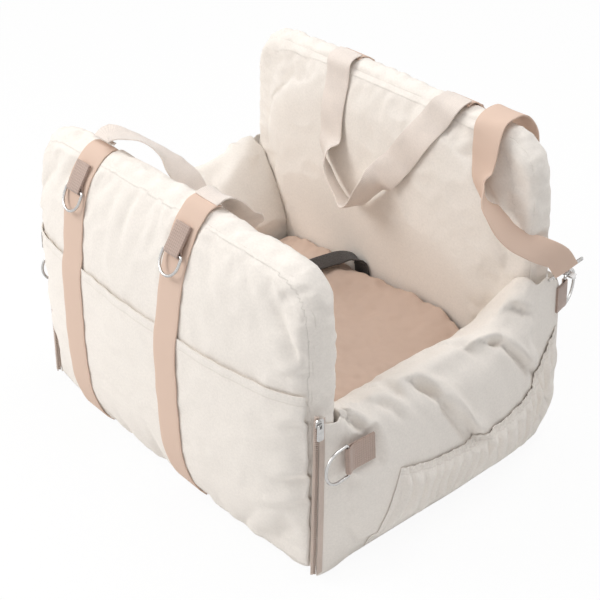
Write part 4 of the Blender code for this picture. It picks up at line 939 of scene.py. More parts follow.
def wall_outline(half, height, y_of, offset, corner):
    """The line of a wall's seam: up one side, over the top and down the other."""
    steps = 12
    rise = [Vector((-half, y_of(z) + offset, z))
            for z in np.linspace(FLOOR_TOP + 0.004, height - corner, 30)]
    for step in range(1, steps):
        angle = math.radians(180 - 90 * step / steps)
        z = height - corner + corner * math.sin(angle)
        rise.append(Vector((corner - half + corner * math.cos(angle), y_of(z) + offset, z)))
    top = [Vector((x, y_of(height) + offset, height))
           for x in np.linspace(corner - half, half - corner, 50)]
    fall = [Vector((-point.x, point.y, point.z)) for point in reversed(rise)]
    return rise + top + fall


def onto(tree, line):
    """Each point of a line, moved to the nearest place on a surface."""
    return [tree.find_nearest(point)[0] for point in line]


def wall_padding(node, half, height, y_of, gusset, corner, seed):
    """A stuffed wall: its cloth simulated, its two seams pressed in and puckered."""
    name = node + "_padding"
    cloth = bpy.context.scene.seat_cloth
    labels = ("outer_seam", "inner_seam")
    material = canvas_material(name + " canvas", labels)
    piece = node_form(name, node + "_filling", material, cloth.voxel)
    points = positions(piece.data)
    away = points[:, 1] - np.array([y_of(z) for z in points[:, 2]])
    pinned = np.abs(away - SEAM_INSET) < SEAM_BAND
    pinned |= np.abs(away - gusset + SEAM_INSET) < SEAM_BAND
    pinned |= points[:, 2] < FLOOR_TOP + 0.010
    inflate(piece, pinned, 0.009, cloth.pressure, cloth.growth)
    subdivide_once(piece)
    mesh = piece.data
    tree = piece_tree(name)
    for number, (label, offset) in enumerate(zip(labels, (0.0, gusset))):
        line = onto(tree, wall_outline(half, height, y_of, offset, corner))
        outer = number == 0

        def side(place, offset=offset, outer=outer):
            inside = place.y > y_of(place.z) + offset
            return -1.0 if inside == outer else 1.0

        distances, runs = mark_seam(mesh, label, line, side)
        pucker(mesh, distances, runs, cloth.pucker, seed + number)
    rumple(mesh, 0.0022, 0.075, seed)
    rumple(mesh, 0.0012, 0.030, seed + 3.3, sharp=True)
    return piece


def fold_lines(mesh, folds, side=1, strength=1.0):
    """Sharp folds along short lines: a valley with a lip on its upper side."""
    points = positions(mesh)
    outwards = normals(mesh)
    total = np.zeros(len(points))
    for start, end, depth, width in folds:
        first = np.array((start[0] * side, start[1], start[2]))
        run = np.array((end[0] * side, end[1], end[2])) - first
        length = np.linalg.norm(run)
        unit = run / length
        rel = points - first
        along = rel @ unit
        across = rel - along[:, None] * unit
        lateral = across - outwards * np.sum(across * outwards, axis=1)[:, None]
        away = np.linalg.norm(lateral, axis=1)
        near = np.linalg.norm(across, axis=1) < 6 * width + 0.02
        left = np.sign(np.sum(lateral * np.cross(outwards, unit), axis=1)) * side
        share = np.clip(along / length, -FOLD_TAIL, 1 + FOLD_TAIL)
        beyond = np.maximum(np.maximum(-share, share - 1), 0)
        taper = (1 - beyond / FOLD_TAIL) ** 2
        signed = away * left
        valley = np.exp(-(signed / width) ** 2)
        lip = np.exp(-((signed - 1.9 * width) / (1.3 * width)) ** 2)
        total += np.where(near, strength * depth * taper * (0.55 * lip - valley), 0)
    move_points(mesh, points + outwards * total[:, None])


def soften(mesh, middle, reach, passes=8):
    """Even out a mesh near a place."""
    bm = bmesh.new()
    bm.from_mesh(mesh)
    near = [vertex for vertex in bm.verts if (vertex.co - middle).length < reach]
    for _ in range(passes):
        bmesh.ops.smooth_vert(bm, verts=near, factor=0.5, use_axis_x=True, use_axis_y=True,
                              use_axis_z=True)
    bm.to_mesh(mesh)
    bm.free()


def keep_clear(mesh, rule):
    """Move points that a rule finds to be in a neighbour's space."""
    points = positions(mesh)
    for index, point in enumerate(points):
        points[index] = rule(*point)
    move_points(mesh, points)


def cabin_half(z):
    """Half the cabin's width between the bolsters at a height."""
    share = clamp((z - SLOPE_START) / (RIDGE_HEIGHT - SLOPE_START))
    return mix(CABIN_HALF, RIDGE_HALF, share) - SLOPE_SAG * math.sin(math.pi * share)


def meets_side(x, z):
    """Whether a side stands against a wall at a place."""
    return abs(x) > cabin_half(z) - 0.004 and z < RIDGE_HEIGHT + 0.01


def pocket_slack(x, z):
    """How far the patch pocket hangs away from the front panel."""
    seams = (-POCKET_EDGE, *FRONT_STRAP_PLACES, POCKET_EDGE)
    for left, right in zip(seams, seams[1:]):
        if left <= x <= right:
            share = (x - left) / (right - left)
            rise = clamp((z - POCKET_FOOT) / (POCKET_TOP - POCKET_FOOT))
            return POCKET_SLACK * math.sin(math.pi * share) ** 2 * rise ** 3
    return 0.0


# The front panel's folds, and further down the sides': start, end, depth and width
FRONT_FOLDS = (
    ((0.222, -0.196, 0.341), (0.246, -0.176, 0.360), 0.0024, 0.0070),
    ((0.262, -0.170, 0.345), (0.263, -0.168, 0.318), 0.0016, 0.0060),
    ((0.226, -0.205, 0.128), (0.260, -0.198, 0.136), 0.0040, 0.0050),
    ((0.215, -0.210, 0.086), (0.260, -0.200, 0.104), 0.0036, 0.0052),
    ((0.236, -0.204, 0.200), (0.262, -0.192, 0.206), 0.0032, 0.0044),
    ((0.238, -0.200, 0.262), (0.262, -0.188, 0.268), 0.0030, 0.0044))


class SeatFrontPanel(bpy.types.Operator):
    """Make the stuffed front panel and the patch pocket on it."""
    bl_idname = "dogseat.front_panel"
    bl_label = "Front panel"

    def execute(self, context):
        piece = wall_padding("front_panel", FRONT_HALF, FRONT_HEIGHT, front_seam_y,
                             FRONT_GUSSET, FRONT_CORNER, 1.7)

        def rule(x, y, z):
            if meets_side(x, z):
                y = min(y, front_seam_y(z) + FRONT_GUSSET)
            if z < RIDGE_HEIGHT:
                x = clamp(x, -FRONT_HALF, FRONT_HALF)
            return x, y, max(z, FLOOR_TOP)

        for side in (1, -1):
            fold_lines(piece.data, FRONT_FOLDS, side)
        keep_clear(piece.data, rule)
        settle(piece, "front_panel", "canvas", "front_panel_cover", "front_panel_filling")
        self.make_pocket()
        return {"FINISHED"}

    def make_pocket(self):
        """The patch pocket: a hemmed sheet that hangs a little slack."""
        tree = piece_tree("front_panel_padding")
        columns, rows = 150, 68
        bm = bmesh.new()
        bmesh.ops.create_grid(bm, x_segments=columns, y_segments=rows, size=1)
        hem = bm.verts.layers.float.new("hem")
        run = bm.verts.layers.float.new("hem_run")
        for vertex in bm.verts:
            x = vertex.co.x * POCKET_EDGE
            z = mix(POCKET_FOOT, POCKET_TOP, (vertex.co.y + 1) / 2)
            hits = [cast(tree, (x + beside, -CAST_FROM, z), (0, 1, 0))
                    for beside in (-0.003, 0.0, 0.003)]
            face = min(hit.y for hit in hits if hit)
            edge = smooth((POCKET_EDGE - abs(x)) / 0.012)
            crease = noise.noise(Vector((x * 9, z * 34, 4.1)))
            drag = 0.0022 * (0.5 - abs(crease) * 1.6) * edge * smooth((z - 0.03) / 0.05)
            lift = mix(0.0004, 0.0012, edge) + pocket_slack(x, z)
            lift += drag * smooth((POCKET_TOP - z) / 0.03)
            vertex.co = Vector((x, face - max(mix(0.0003, 0.0011, edge), lift), z))
            # The distance from the hem, from which the canvas paints shade in the hem's crease and
            # draws its stitches
            vertex[hem] = z - (POCKET_TOP - POCKET_HEM)
            vertex[run] = x
        for _ in range(2):
            bmesh.ops.smooth_vert(bm, verts=bm.verts, factor=0.4, use_axis_x=False,
                                  use_axis_y=True, use_axis_z=False)
        pocket = make_piece("front_patch_pocket", bm, canvas_material("pocket canvas", ("hem",)))
        facing = pocket.data.polygons[0].normal.y
        thicken(pocket, POCKET_CLOTH, 1 if facing < 0 else -1)
        settle(pocket, "front_panel", "canvas", "front_pocket")


class SeatBackrest(bpy.types.Operator):
    """Make the stuffed backrest."""
    bl_idname = "dogseat.backrest"
    bl_label = "Backrest"

    def execute(self, context):
        piece = wall_padding("backrest", BACK_HALF, BACK_HEIGHT, back_seam_y, BACK_GUSSET,
                             BACK_CORNER, 8.1)

        def rule(x, y, z):
            if meets_side(x, z):
                y = max(y, back_seam_y(z))
            # The side covers wrap round the corners up to here
            if z < SIDE_HEIGHT + 0.004:
                x = clamp(x, -0.2610, 0.2610)
                y = min(y, 0.2035)
            # The cushion's space, and the freer one above it
            free = smooth((z - 0.13) / 0.13)
            y = max(y, mix(0.1315, 0.1215, free))
            return x, y, max(z, FLOOR_TOP)

        keep_clear(piece.data, rule)
        settle(piece, "seat", "canvas", "backrest_cover", "backrest_filling")
        return {"FINISHED"}


# How far each ridge lies above its level form, by the place from front to rear
RIDGE_ROWS = (
    (-0.190, 0.000), (-0.165, -0.012), (-0.120, -0.024), (-0.050, -0.018), (0.060, -0.018),
    (0.085, -0.014), (0.107, -0.007), (0.125, 0.010), (0.1415, 0.021), (0.1475, 0.031),
    (0.160, 0.030), (0.172, 0.023), (0.184, 0.010), (0.192, 0.000))
LEFT_RIDGE_ROWS = (
    (-0.190, 0.000), (-0.165, 0.000), (-0.120, 0.003), (-0.050, 0.008), (0.050, 0.013),
    (0.084, 0.016), (0.123, 0.020), (0.1415, 0.019), (0.1475, 0.029), (0.162, 0.028),
    (0.175, 0.018), (0.186, 0.006), (0.192, 0.000))
SIDE_FOLDS = (
    ((0.268, -0.043, 0.192), (0.268, 0.018, 0.100), 0.0068, 0.0052),
    ((0.268, -0.027, 0.160), (0.268, 0.005, 0.105), 0.0050, 0.0045),
    ((0.268, -0.140, 0.196), (0.268, -0.126, 0.165), 0.0052, 0.0045),
    ((0.262, -0.105, 0.205), (0.268, -0.085, 0.172), 0.0034, 0.0050),
    ((0.268, 0.050, 0.202), (0.268, 0.072, 0.190), 0.0060, 0.0034),
    ((0.268, 0.078, 0.182), (0.268, 0.120, 0.130), 0.0058, 0.0050),
    ((0.256, 0.098, 0.222), (0.264, 0.122, 0.204), 0.0040, 0.0050),
    ((0.240, 0.030, 0.206), (0.262, 0.042, 0.190), 0.0034, 0.0060),
    ((0.236, -0.080, 0.204), (0.262, -0.070, 0.186), 0.0034, 0.0060))


def ridge_shift(y, z, side):
    """How far a side lies above its level form at a place, because its ridge climbs rearwards."""
    rise = clamp((z - 0.095) / 0.125)
    rows = RIDGE_ROWS if side > 0 else LEFT_RIDGE_ROWS
    return float(np.interp(y, *zip(*rows))) * rise


def side_section(outer_x, inner_x):
    """Points round a side wall: up its outer face, over the ridge and down into the cabin."""
    line = [(outer_x(z) - 0.001, z) for z in np.linspace(FLOOR_TOP + 0.001, 0.196, 18)]
    top = outer_x(0.205)
    line += [(mix(top, 0.2625, 0.45) - 0.002, 0.210), (0.2600, 0.2190), (0.2550, 0.2225),
             (0.2490, 0.2225), (0.2440, 0.2180)]
    line += [(inner_x(z), z) for z in np.linspace(0.208, 0.006, 16)]
    line += [(inner_x(0.006) + 0.004, FLOOR_TOP), (0.225, FLOOR_TOP)]
    even = even_line([Vector((x, z, 0)) for x, z in line], 0.001, closed=True)
    last = len(even) - 1
    picked = [even[round(step / SIDE_AROUND * last)] for step in range(SIDE_AROUND)]
    return [(point.x, point.y) for point in picked]


def body_place(point, row, side):
    """A point of a side cover between the walls, and whether it is sewn down."""
    x, z = point
    share = row / SIDE_ROWS
    at_end = row in (0, SIDE_ROWS)
    sewn = z < FLOOR_TOP + 0.012 or (at_end and (z < 0.10 or x > 0.2615))
    level_y = mix(front_seam_y(z) + FRONT_GUSSET, back_seam_y(z), share)
    z += ridge_shift(level_y, z, side)
    y = mix(front_seam_y(z) + FRONT_GUSSET + 0.0012, back_seam_y(z) - 0.0008, share)
    return Vector((side * x, y, z)), int(sewn)


def flap_place(z, depth, row, side, outer_x):
    """A point of the thin flap up to the zip, or of the one round the rear corner."""
    if row < 0:
        start = front_seam_y(z) + ZIP_SETBACK + 0.001
        share = (row + FRONT_FLAP_ROWS) / FRONT_FLAP_ROWS
        y = mix(start, front_seam_y(z) + FRONT_GUSSET, share)
        x = outer_x(max(y, start + 0.0006), z) - depth
    else:
        share = (row - SIDE_ROWS) / REAR_FLAP_ROWS
        if share < FLAP_STRAIGHT:
            y = mix(back_seam_y(z), WRAP_START, share / FLAP_STRAIGHT)
            x = outer_x(min(y, WRAP_START - 0.001), z) - depth
        else:
            angle = math.radians(90) * (share - FLAP_STRAIGHT) / (1 - FLAP_STRAIGHT)
            reach = WRAP_RADIUS - depth
            y = WRAP_START + reach * math.sin(angle)
            x = SIDE_SEAM - WRAP_RADIUS + reach * math.cos(angle)
    return Vector((side * x, y, z + ridge_shift(y, z, side)))


class SeatSides(bpy.types.Operator):
    """Make the padded sides: each one cover, from the zip over the ridge into the cabin."""
    bl_idname = "dogseat.sides"
    bl_label = "Padded sides"

    def execute(self, context):
        for name, side in SIDES:
            self.make_side(name, side)
        return {"FINISHED"}

    def make_side(self, name, side):
        """One side: its cover laid round the frame's form, inflated, and creased."""
        cloth = bpy.context.scene.seat_cloth
        outer = node_tree("side_panel_" + name)
        inner = node_tree("bolster_cover_" + name)

        def outer_x(y, z):
            hit = cast(outer, (side * CAST_FROM, y, clamp(z, 0.004, 0.2105)), (-side, 0, 0))
            return abs(hit.x) if hit else SIDE_SEAM

        def inner_x(y, z):
            hit = cast(inner, (0, y, clamp(z, 0.004, 0.2235)), (side, 0, 0))
            return abs(hit.x) if hit else CABIN_HALF

        bm = self.lay_cover(side, outer_x, inner_x)
        piece = make_piece("side_padding_" + name, bm, canvas_material("side canvas " + name))
        mesh = piece.data
        flags = np.empty(len(mesh.vertices), dtype=np.int32)
        mesh.attributes["pins"].data.foreach_get("value", flags)
        inflate(piece, flags > 0, 0.010, cloth.pressure, cloth.growth * 1.3, bending=0.25)
        mesh.attributes.remove(mesh.attributes["pins"])
        subdivide_once(piece)
        mesh = piece.data
        self.crease(mesh, side)
        self.limit(mesh, outer_x)
        settle(piece, "seat", "canvas", "side_panel_" + name, "bolster_cover_" + name,
               "bolster_filling_" + name)

    def lay_cover(self, side, outer_x, inner_x):
        """The closed cover as a bmesh, with the points that are sewn down marked as pins."""
        sections = []
        for row in range(SIDE_ROWS + 1):
            y = mix(-0.155, 0.1335, row / SIDE_ROWS)
            sections.append(side_section(lambda z, y=y: outer_x(y, z),
                                         lambda z, y=y: inner_x(y, z)))
        # Up to this step a flap shows its outer face, and beyond it the face that is turned in
        turn = next(step for step, (_, z) in enumerate(sections[0]) if z > SIDE_HEIGHT - 0.004)
        rows = FRONT_FLAP_ROWS + SIDE_ROWS + REAR_FLAP_ROWS
        bm = bmesh.new()
        bmesh.ops.create_grid(bm, x_segments=SIDE_AROUND, y_segments=rows, size=1)
        pins = bm.verts.layers.int.new("pins")
        for vertex in bm.verts:
            step = round((vertex.co.x + 1) / 2 * SIDE_AROUND) % SIDE_AROUND
            row = round((vertex.co.y + 1) / 2 * rows) - FRONT_FLAP_ROWS
            if 0 <= row <= SIDE_ROWS:
                vertex.co, vertex[pins] = body_place(sections[row][step], row, side)
                continue
            if step <= turn:
                z = min(sections[0 if row < 0 else -1][step][1], SIDE_HEIGHT)
                depth = 0.0
            else:
                z = mix(SIDE_HEIGHT, FLOOR_TOP, (step - turn) / (SIDE_AROUND - turn))
                depth = FLAP_THICKNESS
            vertex.co = flap_place(z, depth, row, side, outer_x)
            vertex[pins] = 1
        bmesh.ops.remove_doubles(bm, verts=bm.verts, dist=0.00005)
        open_edges = [edge for edge in bm.edges if edge.is_boundary]
        bmesh.ops.holes_fill(bm, edges=open_edges)
        bmesh.ops.triangulate(bm, faces=[face for face in bm.faces if len(face.verts) > 4])
        return bm

    def crease(self, mesh, side):
        """Folds that run across the ridge, and dents."""
        points = positions(mesh)
        outwards = normals(mesh)
        for index, (x, y, z) in enumerate(points):
            ends = min(y - RIDGE_FOLDS_FRONT, RIDGE_FOLDS_REAR - y)
            if ends <= 0:
                continue
            waver = 0.03 * noise.noise(Vector((y * 9, z * 9, 2.2 + side)))
            along = y + 0.35 * (z - 0.2) + waver
            fold = noise.noise(Vector((along / 0.021, z / 0.16, 5.5 * side)))
            ridge = 0.55 - abs(fold) * 2.0
            amount = 0.0020 * smooth(ends / 0.015) * smooth((z - 0.05) / 0.08)
            amount *= 0.45 + 0.9 * math.exp(-ends / 0.05)
            dent = noise.noise(Vector((y * 14, z * 12, abs(x) * 12 + side)))
            dented = 0.0022 * dent * smooth(ends / 0.02)
            points[index] += outwards[index] * (amount * ridge + dented)
        move_points(mesh, points)
        fold_lines(mesh, SIDE_FOLDS, side, 1.7)
        soften(mesh, Vector((side * 0.258, -0.162, 0.210)), 0.016)
        soften(mesh, Vector((side * 0.255, 0.142, 0.240)), 0.016)

    def limit(self, mesh, outer_x):
        """Hold a side in the space that it has."""

        def rule(x, y, z):
            # Beside the cushion
            if abs(x) < 0.22 and z < 0.145:
                x = math.copysign(max(abs(x), mix(0.1865, 0.184, smooth((z - 0.125) / 0.02))), x)
            # Tucked in along the foot, and at the foot of the rear corner
            if z < 0.05 and abs(x) > 0.24 and y < 0.19:
                x -= math.copysign(0.009 * (1 - z / 0.05) ** 2 * smooth((y + 0.19) / 0.05), x)
            if y > 0.15 and z < 0.08:
                tuck = 0.018 * (1 - z / 0.08) ** 2 * smooth((y - 0.15) / 0.045)
                x -= math.copysign(tuck * 0.6, x)
                y -= tuck
            # Under the side ring's tab
            beside = math.hypot(max(-0.166 - y, y + 0.117, 0.0), max(0.134 - z, z - 0.174, 0.0))
            if abs(x) > 0.24 and beside < 0.02:
                x = math.copysign(min(abs(x), outer_x(y, z) - 0.0002 + 0.9 * beside), x)
            # Between the front panel and the backrest
            if abs(x) < SIDE_SEAM - 0.0045 and y < 0.0 and z < 0.23:
                y = max(y, front_seam_y(z) + FRONT_GUSSET + 0.0006)
            if abs(x) < SIDE_SEAM - 0.0085 and 0.06 < y < 0.16:
                y = min(y, back_seam_y(z) - 0.0006)
            return x, y, max(z, FLOOR_TOP)

        keep_clear(mesh, rule)


# The height of the gathered pockets' hem, by the place from front to rear
HEM_ROWS = (
    (-0.093, 0.113), (-0.075, 0.108), (-0.050, 0.101), (-0.026, 0.097), (0.005, 0.094),
    (0.040, 0.094), (0.073, 0.096), (0.100, 0.101), (0.125, 0.111), (0.148, 0.127),
    (0.165, 0.145), (0.180, 0.160))


class SeatSidePockets(bpy.types.Operator):
    """Make the gathered pocket on each side, with its elastic hem."""
    bl_idname = "dogseat.side_pockets"
    bl_label = "Side pockets"

    def execute(self, context):
        for name, side in SIDES:
            tree = piece_tree("side_padding_" + name)
            columns, rows = 230, 36
            bm = bmesh.new()
            bmesh.ops.create_grid(bm, x_segments=columns, y_segments=rows, size=1)
            hem = bm.verts.layers.float.new("hem")
            run = bm.verts.layers.float.new("hem_run")
            for vertex in bm.verts:
                along, up = (vertex.co.x + 1) / 2, (vertex.co.y + 1) / 2
                vertex.co, height, length = self.place(tree, side, along, up)
                # The distance from the hem, from which the canvas paints shade in the hem's crease
                # and draws its stitches
                vertex[hem] = height
                vertex[run] = length
            bmesh.ops.smooth_vert(bm, verts=bm.verts, factor=0.3, use_axis_x=True,
                                  use_axis_y=True, use_axis_z=True)
            pocket = make_piece("gathered_pocket_" + name, bm,
                                canvas_material("gathered canvas " + name, ("hem",)))
            facing = pocket.data.polygons[0].normal.x * side
            thicken(pocket, GATHERED_CLOTH, -1 if facing > 0 else 1)
            settle(pocket, "seat", "canvas", "side_pocket_" + name)
        return {"FINISHED"}

    def place(self, tree, side, along, up):
        """A point of the gathered pocket, the height under its hem and its run."""
        start = FRONT_SEAM + 0.074 + 0.040 * up
        end = WRAP_START + math.radians(18) * WRAP_RADIUS
        y = mix(start, end, along)
        top = float(np.interp(y, *zip(*HEM_ROWS)))
        z = mix(GATHERED_FOOT, top, up)
        gather = smooth((up - 0.15) / 0.85)
        # The pleats lean, wander and differ in size
        wander = 1.3 * noise.noise(Vector((along * 5, up * 1.6, 3.0)))
        phase = along * PLEATS - 1.6 * (1 - up) + wander
        pleat = abs(math.sin(math.pi * phase)) ** 0.9
        size = 0.55 + 0.9 * abs(noise.noise(Vector((along * PLEATS * 0.6, up * 1.4, 6.0 + side))))
        wobble = 3 * noise.noise(Vector((along * 20, 0, 1)))
        fine = math.sin(along * 2 * math.pi * HEM_RIPPLES + wobble)
        slack = 0.0030 * math.sin(math.pi * clamp(along)) ** 0.8 * up ** 1.5
        hug = 1 - smooth((up - 0.80) / 0.18)
        fold = PLEAT_DEPTH * smooth(up / 0.45) * size * pleat * (0.22 + 0.78 * hug)
        hem_ripple = 0.0013 * fine * smooth((up - 0.84) / 0.12)
        edge = smooth(min(along, 1 - along) / 0.03) * smooth(up / 0.08)
        lift = 0.0016 + ((slack + 0.004 * gather) * (0.1 + 0.9 * hug) + fold + hem_ripple) * edge
        if y <= WRAP_START:
            out = Vector((side, 0, 0))
            hit = cast(tree, (side * CAST_FROM, y, z), (-side, 0, 0))
        else:
            angle = (y - WRAP_START) / WRAP_RADIUS
            out = Vector((side * math.cos(angle), math.sin(angle), 0))
            centre = Vector((side * (SIDE_SEAM - WRAP_RADIUS), WRAP_START, z))
            hit = cast(tree, centre + out * 0.2, -out)
        z_ripple = 0.0012 * fine * smooth((up - 0.9) / 0.1) * edge
        place = hit + out * max(0.0013, lift) + Vector((0, 0, z_ripple))
        return place, z - (top - GATHERED_HEM), y


# The tether's route out from behind the cushion
TETHER_ROWS = (
    (-0.0215, 0.1295, 0.1240), (-0.0235, 0.1290, 0.1400), (-0.0310, 0.1240, 0.1490),
    (-0.0450, 0.1070, 0.1480), (-0.0640, 0.0720, 0.1405), (-0.0750, 0.0260, 0.1370))


def tether_floor(x, y):
    """How high the plush may stand at a place beside or under the tether."""
    rows = [row for row in TETHER_ROWS if row[2] > 0.13] + [(-0.0780, -0.075, 0.1330)]
    for first, second in zip(rows, rows[1:]):
        if second[1] <= y <= first[1]:
            share = (first[1] - y) / (first[1] - second[1])
            middle = mix(first[0], second[0], share)
            beside = abs(x - middle) - 0.0135
            return mix(first[2], second[2], share) - 0.0016 + max(0.0, beside) * 0.9
    return 1.0


# The height of the cushion's rear crest, by the place from left to right
CUSHION_CREST = (
    (-0.185, 0.128), (-0.150, 0.133), (-0.100, 0.138), (-0.040, 0.145), (0.030, 0.149),
    (0.090, 0.149), (0.130, 0.145), (0.162, 0.140), (0.185, 0.132))
# The plush's unevenness from broad to fine: amount, scale and seed
PLUSH_RUMPLES = ((0.0030, 0.11, 3.0), (0.0030, 0.030, 9.0), (0.0022, 0.012, 5.0),
                 (0.0010, 0.007, 2.0))


class SeatPlush(bpy.types.Operator):
    """Make the plush cushion."""
    bl_idname = "dogseat.cushion"
    bl_label = "Plush cushion"

    def execute(self, context):
        piece = node_form("cushion_plush", "cushion_filling", finish_of("plush"), 0.006)
        points = positions(piece.data)
        low = points[:, 2].min()
        inflate(piece, points[:, 2] < low + 0.02, 0.006, 2.5, 0.03, frames=14)
        subdivide_once(piece)
        mesh = piece.data
        self.crown(mesh, low)
        for amount, scale, seed in PLUSH_RUMPLES:
            rumple(mesh, amount, scale, seed)

        def rule(x, y, z):
            limit = 0.1835 if z < 0.112 else 0.188
            y = min(y, 0.1300)
            if z > 0.11 and y > -0.08:
                z = min(z, tether_floor(x, y))
            return clamp(x, -limit, limit), y, max(z, low)

        keep_clear(mesh, rule)
        settle(piece, "seat", "plush", "cushion_cover", "cushion_filling")
        return {"FINISHED"}

    def crown(self, mesh, low):
        """Draw the cushion out to its neighbours and raise its rear to the crest."""
        points = positions(mesh)
        rear = np.clip((points[:, 1] - 0.02) / 0.09, 0, 1)
        high = np.clip((points[:, 2] - low - 0.01) / 0.04, 0, 1)
        points[:, 1] += 0.0125 * rear * high
        points[:, 0] *= 1 + 0.018 * high
        # The present top at each place from the middle to the rear, and the top that it should have
        bins = np.linspace(0.0, 0.131, 27)
        inside = np.abs(points[:, 0]) < 0.15
        tops = [points[inside & (np.abs(points[:, 1] - place) < 0.005), 2].max(initial=low + 0.03)
                for place in bins]
        local = np.interp(points[:, 1], bins, tops)
        crest = np.interp(points[:, 0], *zip(*CUSHION_CREST))
        share = np.clip((points[:, 1] - 0.03) / 0.095, 0, 1)
        goal = local + (crest - local) * share * share
        ratio = np.clip((goal - low) / np.maximum(local - low, 0.02), 0.9, 2.4)
        points[:, 2] = low + (points[:, 2] - low) * np.where(points[:, 1] > 0.03, ratio, 1.0)
        move_points(mesh, points)


def wall_path(tree, place, sign, height, middle_y, lift):
    """A strap's line up the outside of a wall and over its top to the middle."""
    centre_z = height - TOP_TURN
    columns = [place + STRAP_WIDTH / 2 * share * 0.96 for share in (-1, -0.5, 0, 0.5, 1)]
    points = []
    for z in np.arange(STRAP_FOOT, centre_z, 0.005):
        hits = [cast(tree, (x, middle_y + sign * WALL_REACH, z), (0, -sign, 0)) for x in columns]
        far = max(sign * hit.y for hit in hits if hit)
        points.append(Vector((place, sign * far + sign * lift, z)))
    steps = 16
    for step in range(steps + 1):
        angle = math.radians(90) * step / steps
        out = Vector((0, sign * math.cos(angle), math.sin(angle)))
        centres = [Vector((x, middle_y, centre_z)) for x in columns]
        hits = [cast(tree, centre + out * WALL_REACH, -out) for centre in centres]
        far = max((hit - centre).length for hit, centre in zip(hits, centres) if hit)
        points.append(Vector((place, middle_y, centre_z)) + out * (far + lift))
    return relaxed(points, 3)


class SeatSewnStraps(bpy.types.Operator):
    """Make the straps sewn up the front panel and up the backrest."""
    bl_idname = "dogseat.sewn_straps"
    bl_label = "Sewn straps"

    def execute(self, context):
        front = piece_tree("front_panel_padding", "front_patch_pocket")
        back = piece_tree("backrest_padding")
        rows = (("front", front, -1, FRONT_HEIGHT, FRONT_MIDDLE, FRONT_STRAP_PLACES, "front_panel"),
                ("back", back, 1, BACK_HEIGHT, BACK_MIDDLE, BACK_STRAP_PLACES, "seat"))
        for wall, tree, sign, height, middle, places, body in rows:
            for side, place in zip(("left", "right"), places):
                line = wall_path(tree, place, sign, height, middle, STRAP_THICKNESS / 2 + SEWN_GAP)
                line[-1].y += sign * TOP_OFFSET
                line.append(line[-1] + Vector((0, -sign * 0.003, -STRAP_THICKNESS * 0.6)))
                line.append(line[-1] + Vector((0, -sign * 0.004, -STRAP_THICKNESS * 0.6)))
                acrosses = square_off(line, [Vector((1, 0, 0))] * len(line))
                strap = strip(wall + "_webbing_" + side, line, acrosses, STRAP_WIDTH,
                              STRAP_THICKNESS, finish_of("webbing"))
                settle(strap, body, "webbing", wall + "_strap_" + side)
        return {"FINISHED"}


def joint_of(child):
    """The joint that carries a body."""
    return next(joint for joint in FRAME["joints"] if joint["child"] == child)


# The carrying handles from their left end to their right one: the share of the way across, the
# share of the way from the wall's top to its inner face, the share of the drop, and the quarter
# turns and the tilt in degrees of the webbing's width
FRONT_HANDLE_ROWS = (
    (0.00, 0.04, 0.00, 0.00, 0), (0.00, 0.18, -0.02, 0.00, 0), (0.00, 0.34, -0.05, 0.00, 0),
    (0.03, 0.50, -0.05, 0.10, 8), (0.10, 0.68, -0.04, 0.32, 22), (0.19, 0.86, 0.01, 0.56, 32),
    (0.28, 1.00, 0.12, 0.76, 32), (0.35, 1.00, 0.26, 0.88, 20),
    (0.42, 1.00, 0.46, 1.00, 10), (0.50, 1.00, 0.80, 1.00, 0), (0.62, 1.00, 1.00, 1.00, 0),
    (0.76, 1.00, 0.90, 1.00, 0), (0.90, 1.00, 0.66, 1.15, 0), (1.01, 1.00, 0.40, 1.45, 0),
    (1.04, 1.00, 0.20, 1.75, 0), (1.035, 0.84, 0.02, 1.92, 0), (1.01, 0.48, -0.03, 2.00, 0),
    (1.00, 0.20, -0.01, 2.00, 0), (1.00, 0.04, 0.00, 2.00, 0))
BACK_HANDLE_ROWS = (
    (0.00, 0.04, 0.00, 0.00, 0), (0.00, 0.50, 0.00, 0.00, 0), (0.01, 0.92, 0.04, 0.00, 0),
    (0.02, 1.00, 0.15, 0.00, 0), (0.03, 1.00, 0.40, 0.00, 0), (0.05, 1.00, 0.60, 0.05, 0),
    (0.07, 1.00, 0.69, 0.45, 20), (0.14, 1.00, 0.82, 0.68, 30), (0.25, 1.00, 0.95, 0.74, 30),
    (0.36, 1.00, 1.00, 0.84, 22), (0.46, 1.00, 0.92, 1.02, 10), (0.55, 1.00, 0.77, 1.25, 0),
    (0.62, 1.00, 0.66, 1.72, 0), (0.70, 1.00, 0.54, 1.95, 0), (0.83, 1.00, 0.32, 2.00, 0),
    (0.93, 1.00, 0.15, 2.00, 0), (0.99, 0.92, 0.04, 2.00, 0), (1.00, 0.50, 0.00, 2.00, 0),
    (1.00, 0.04, 0.00, 2.00, 0))


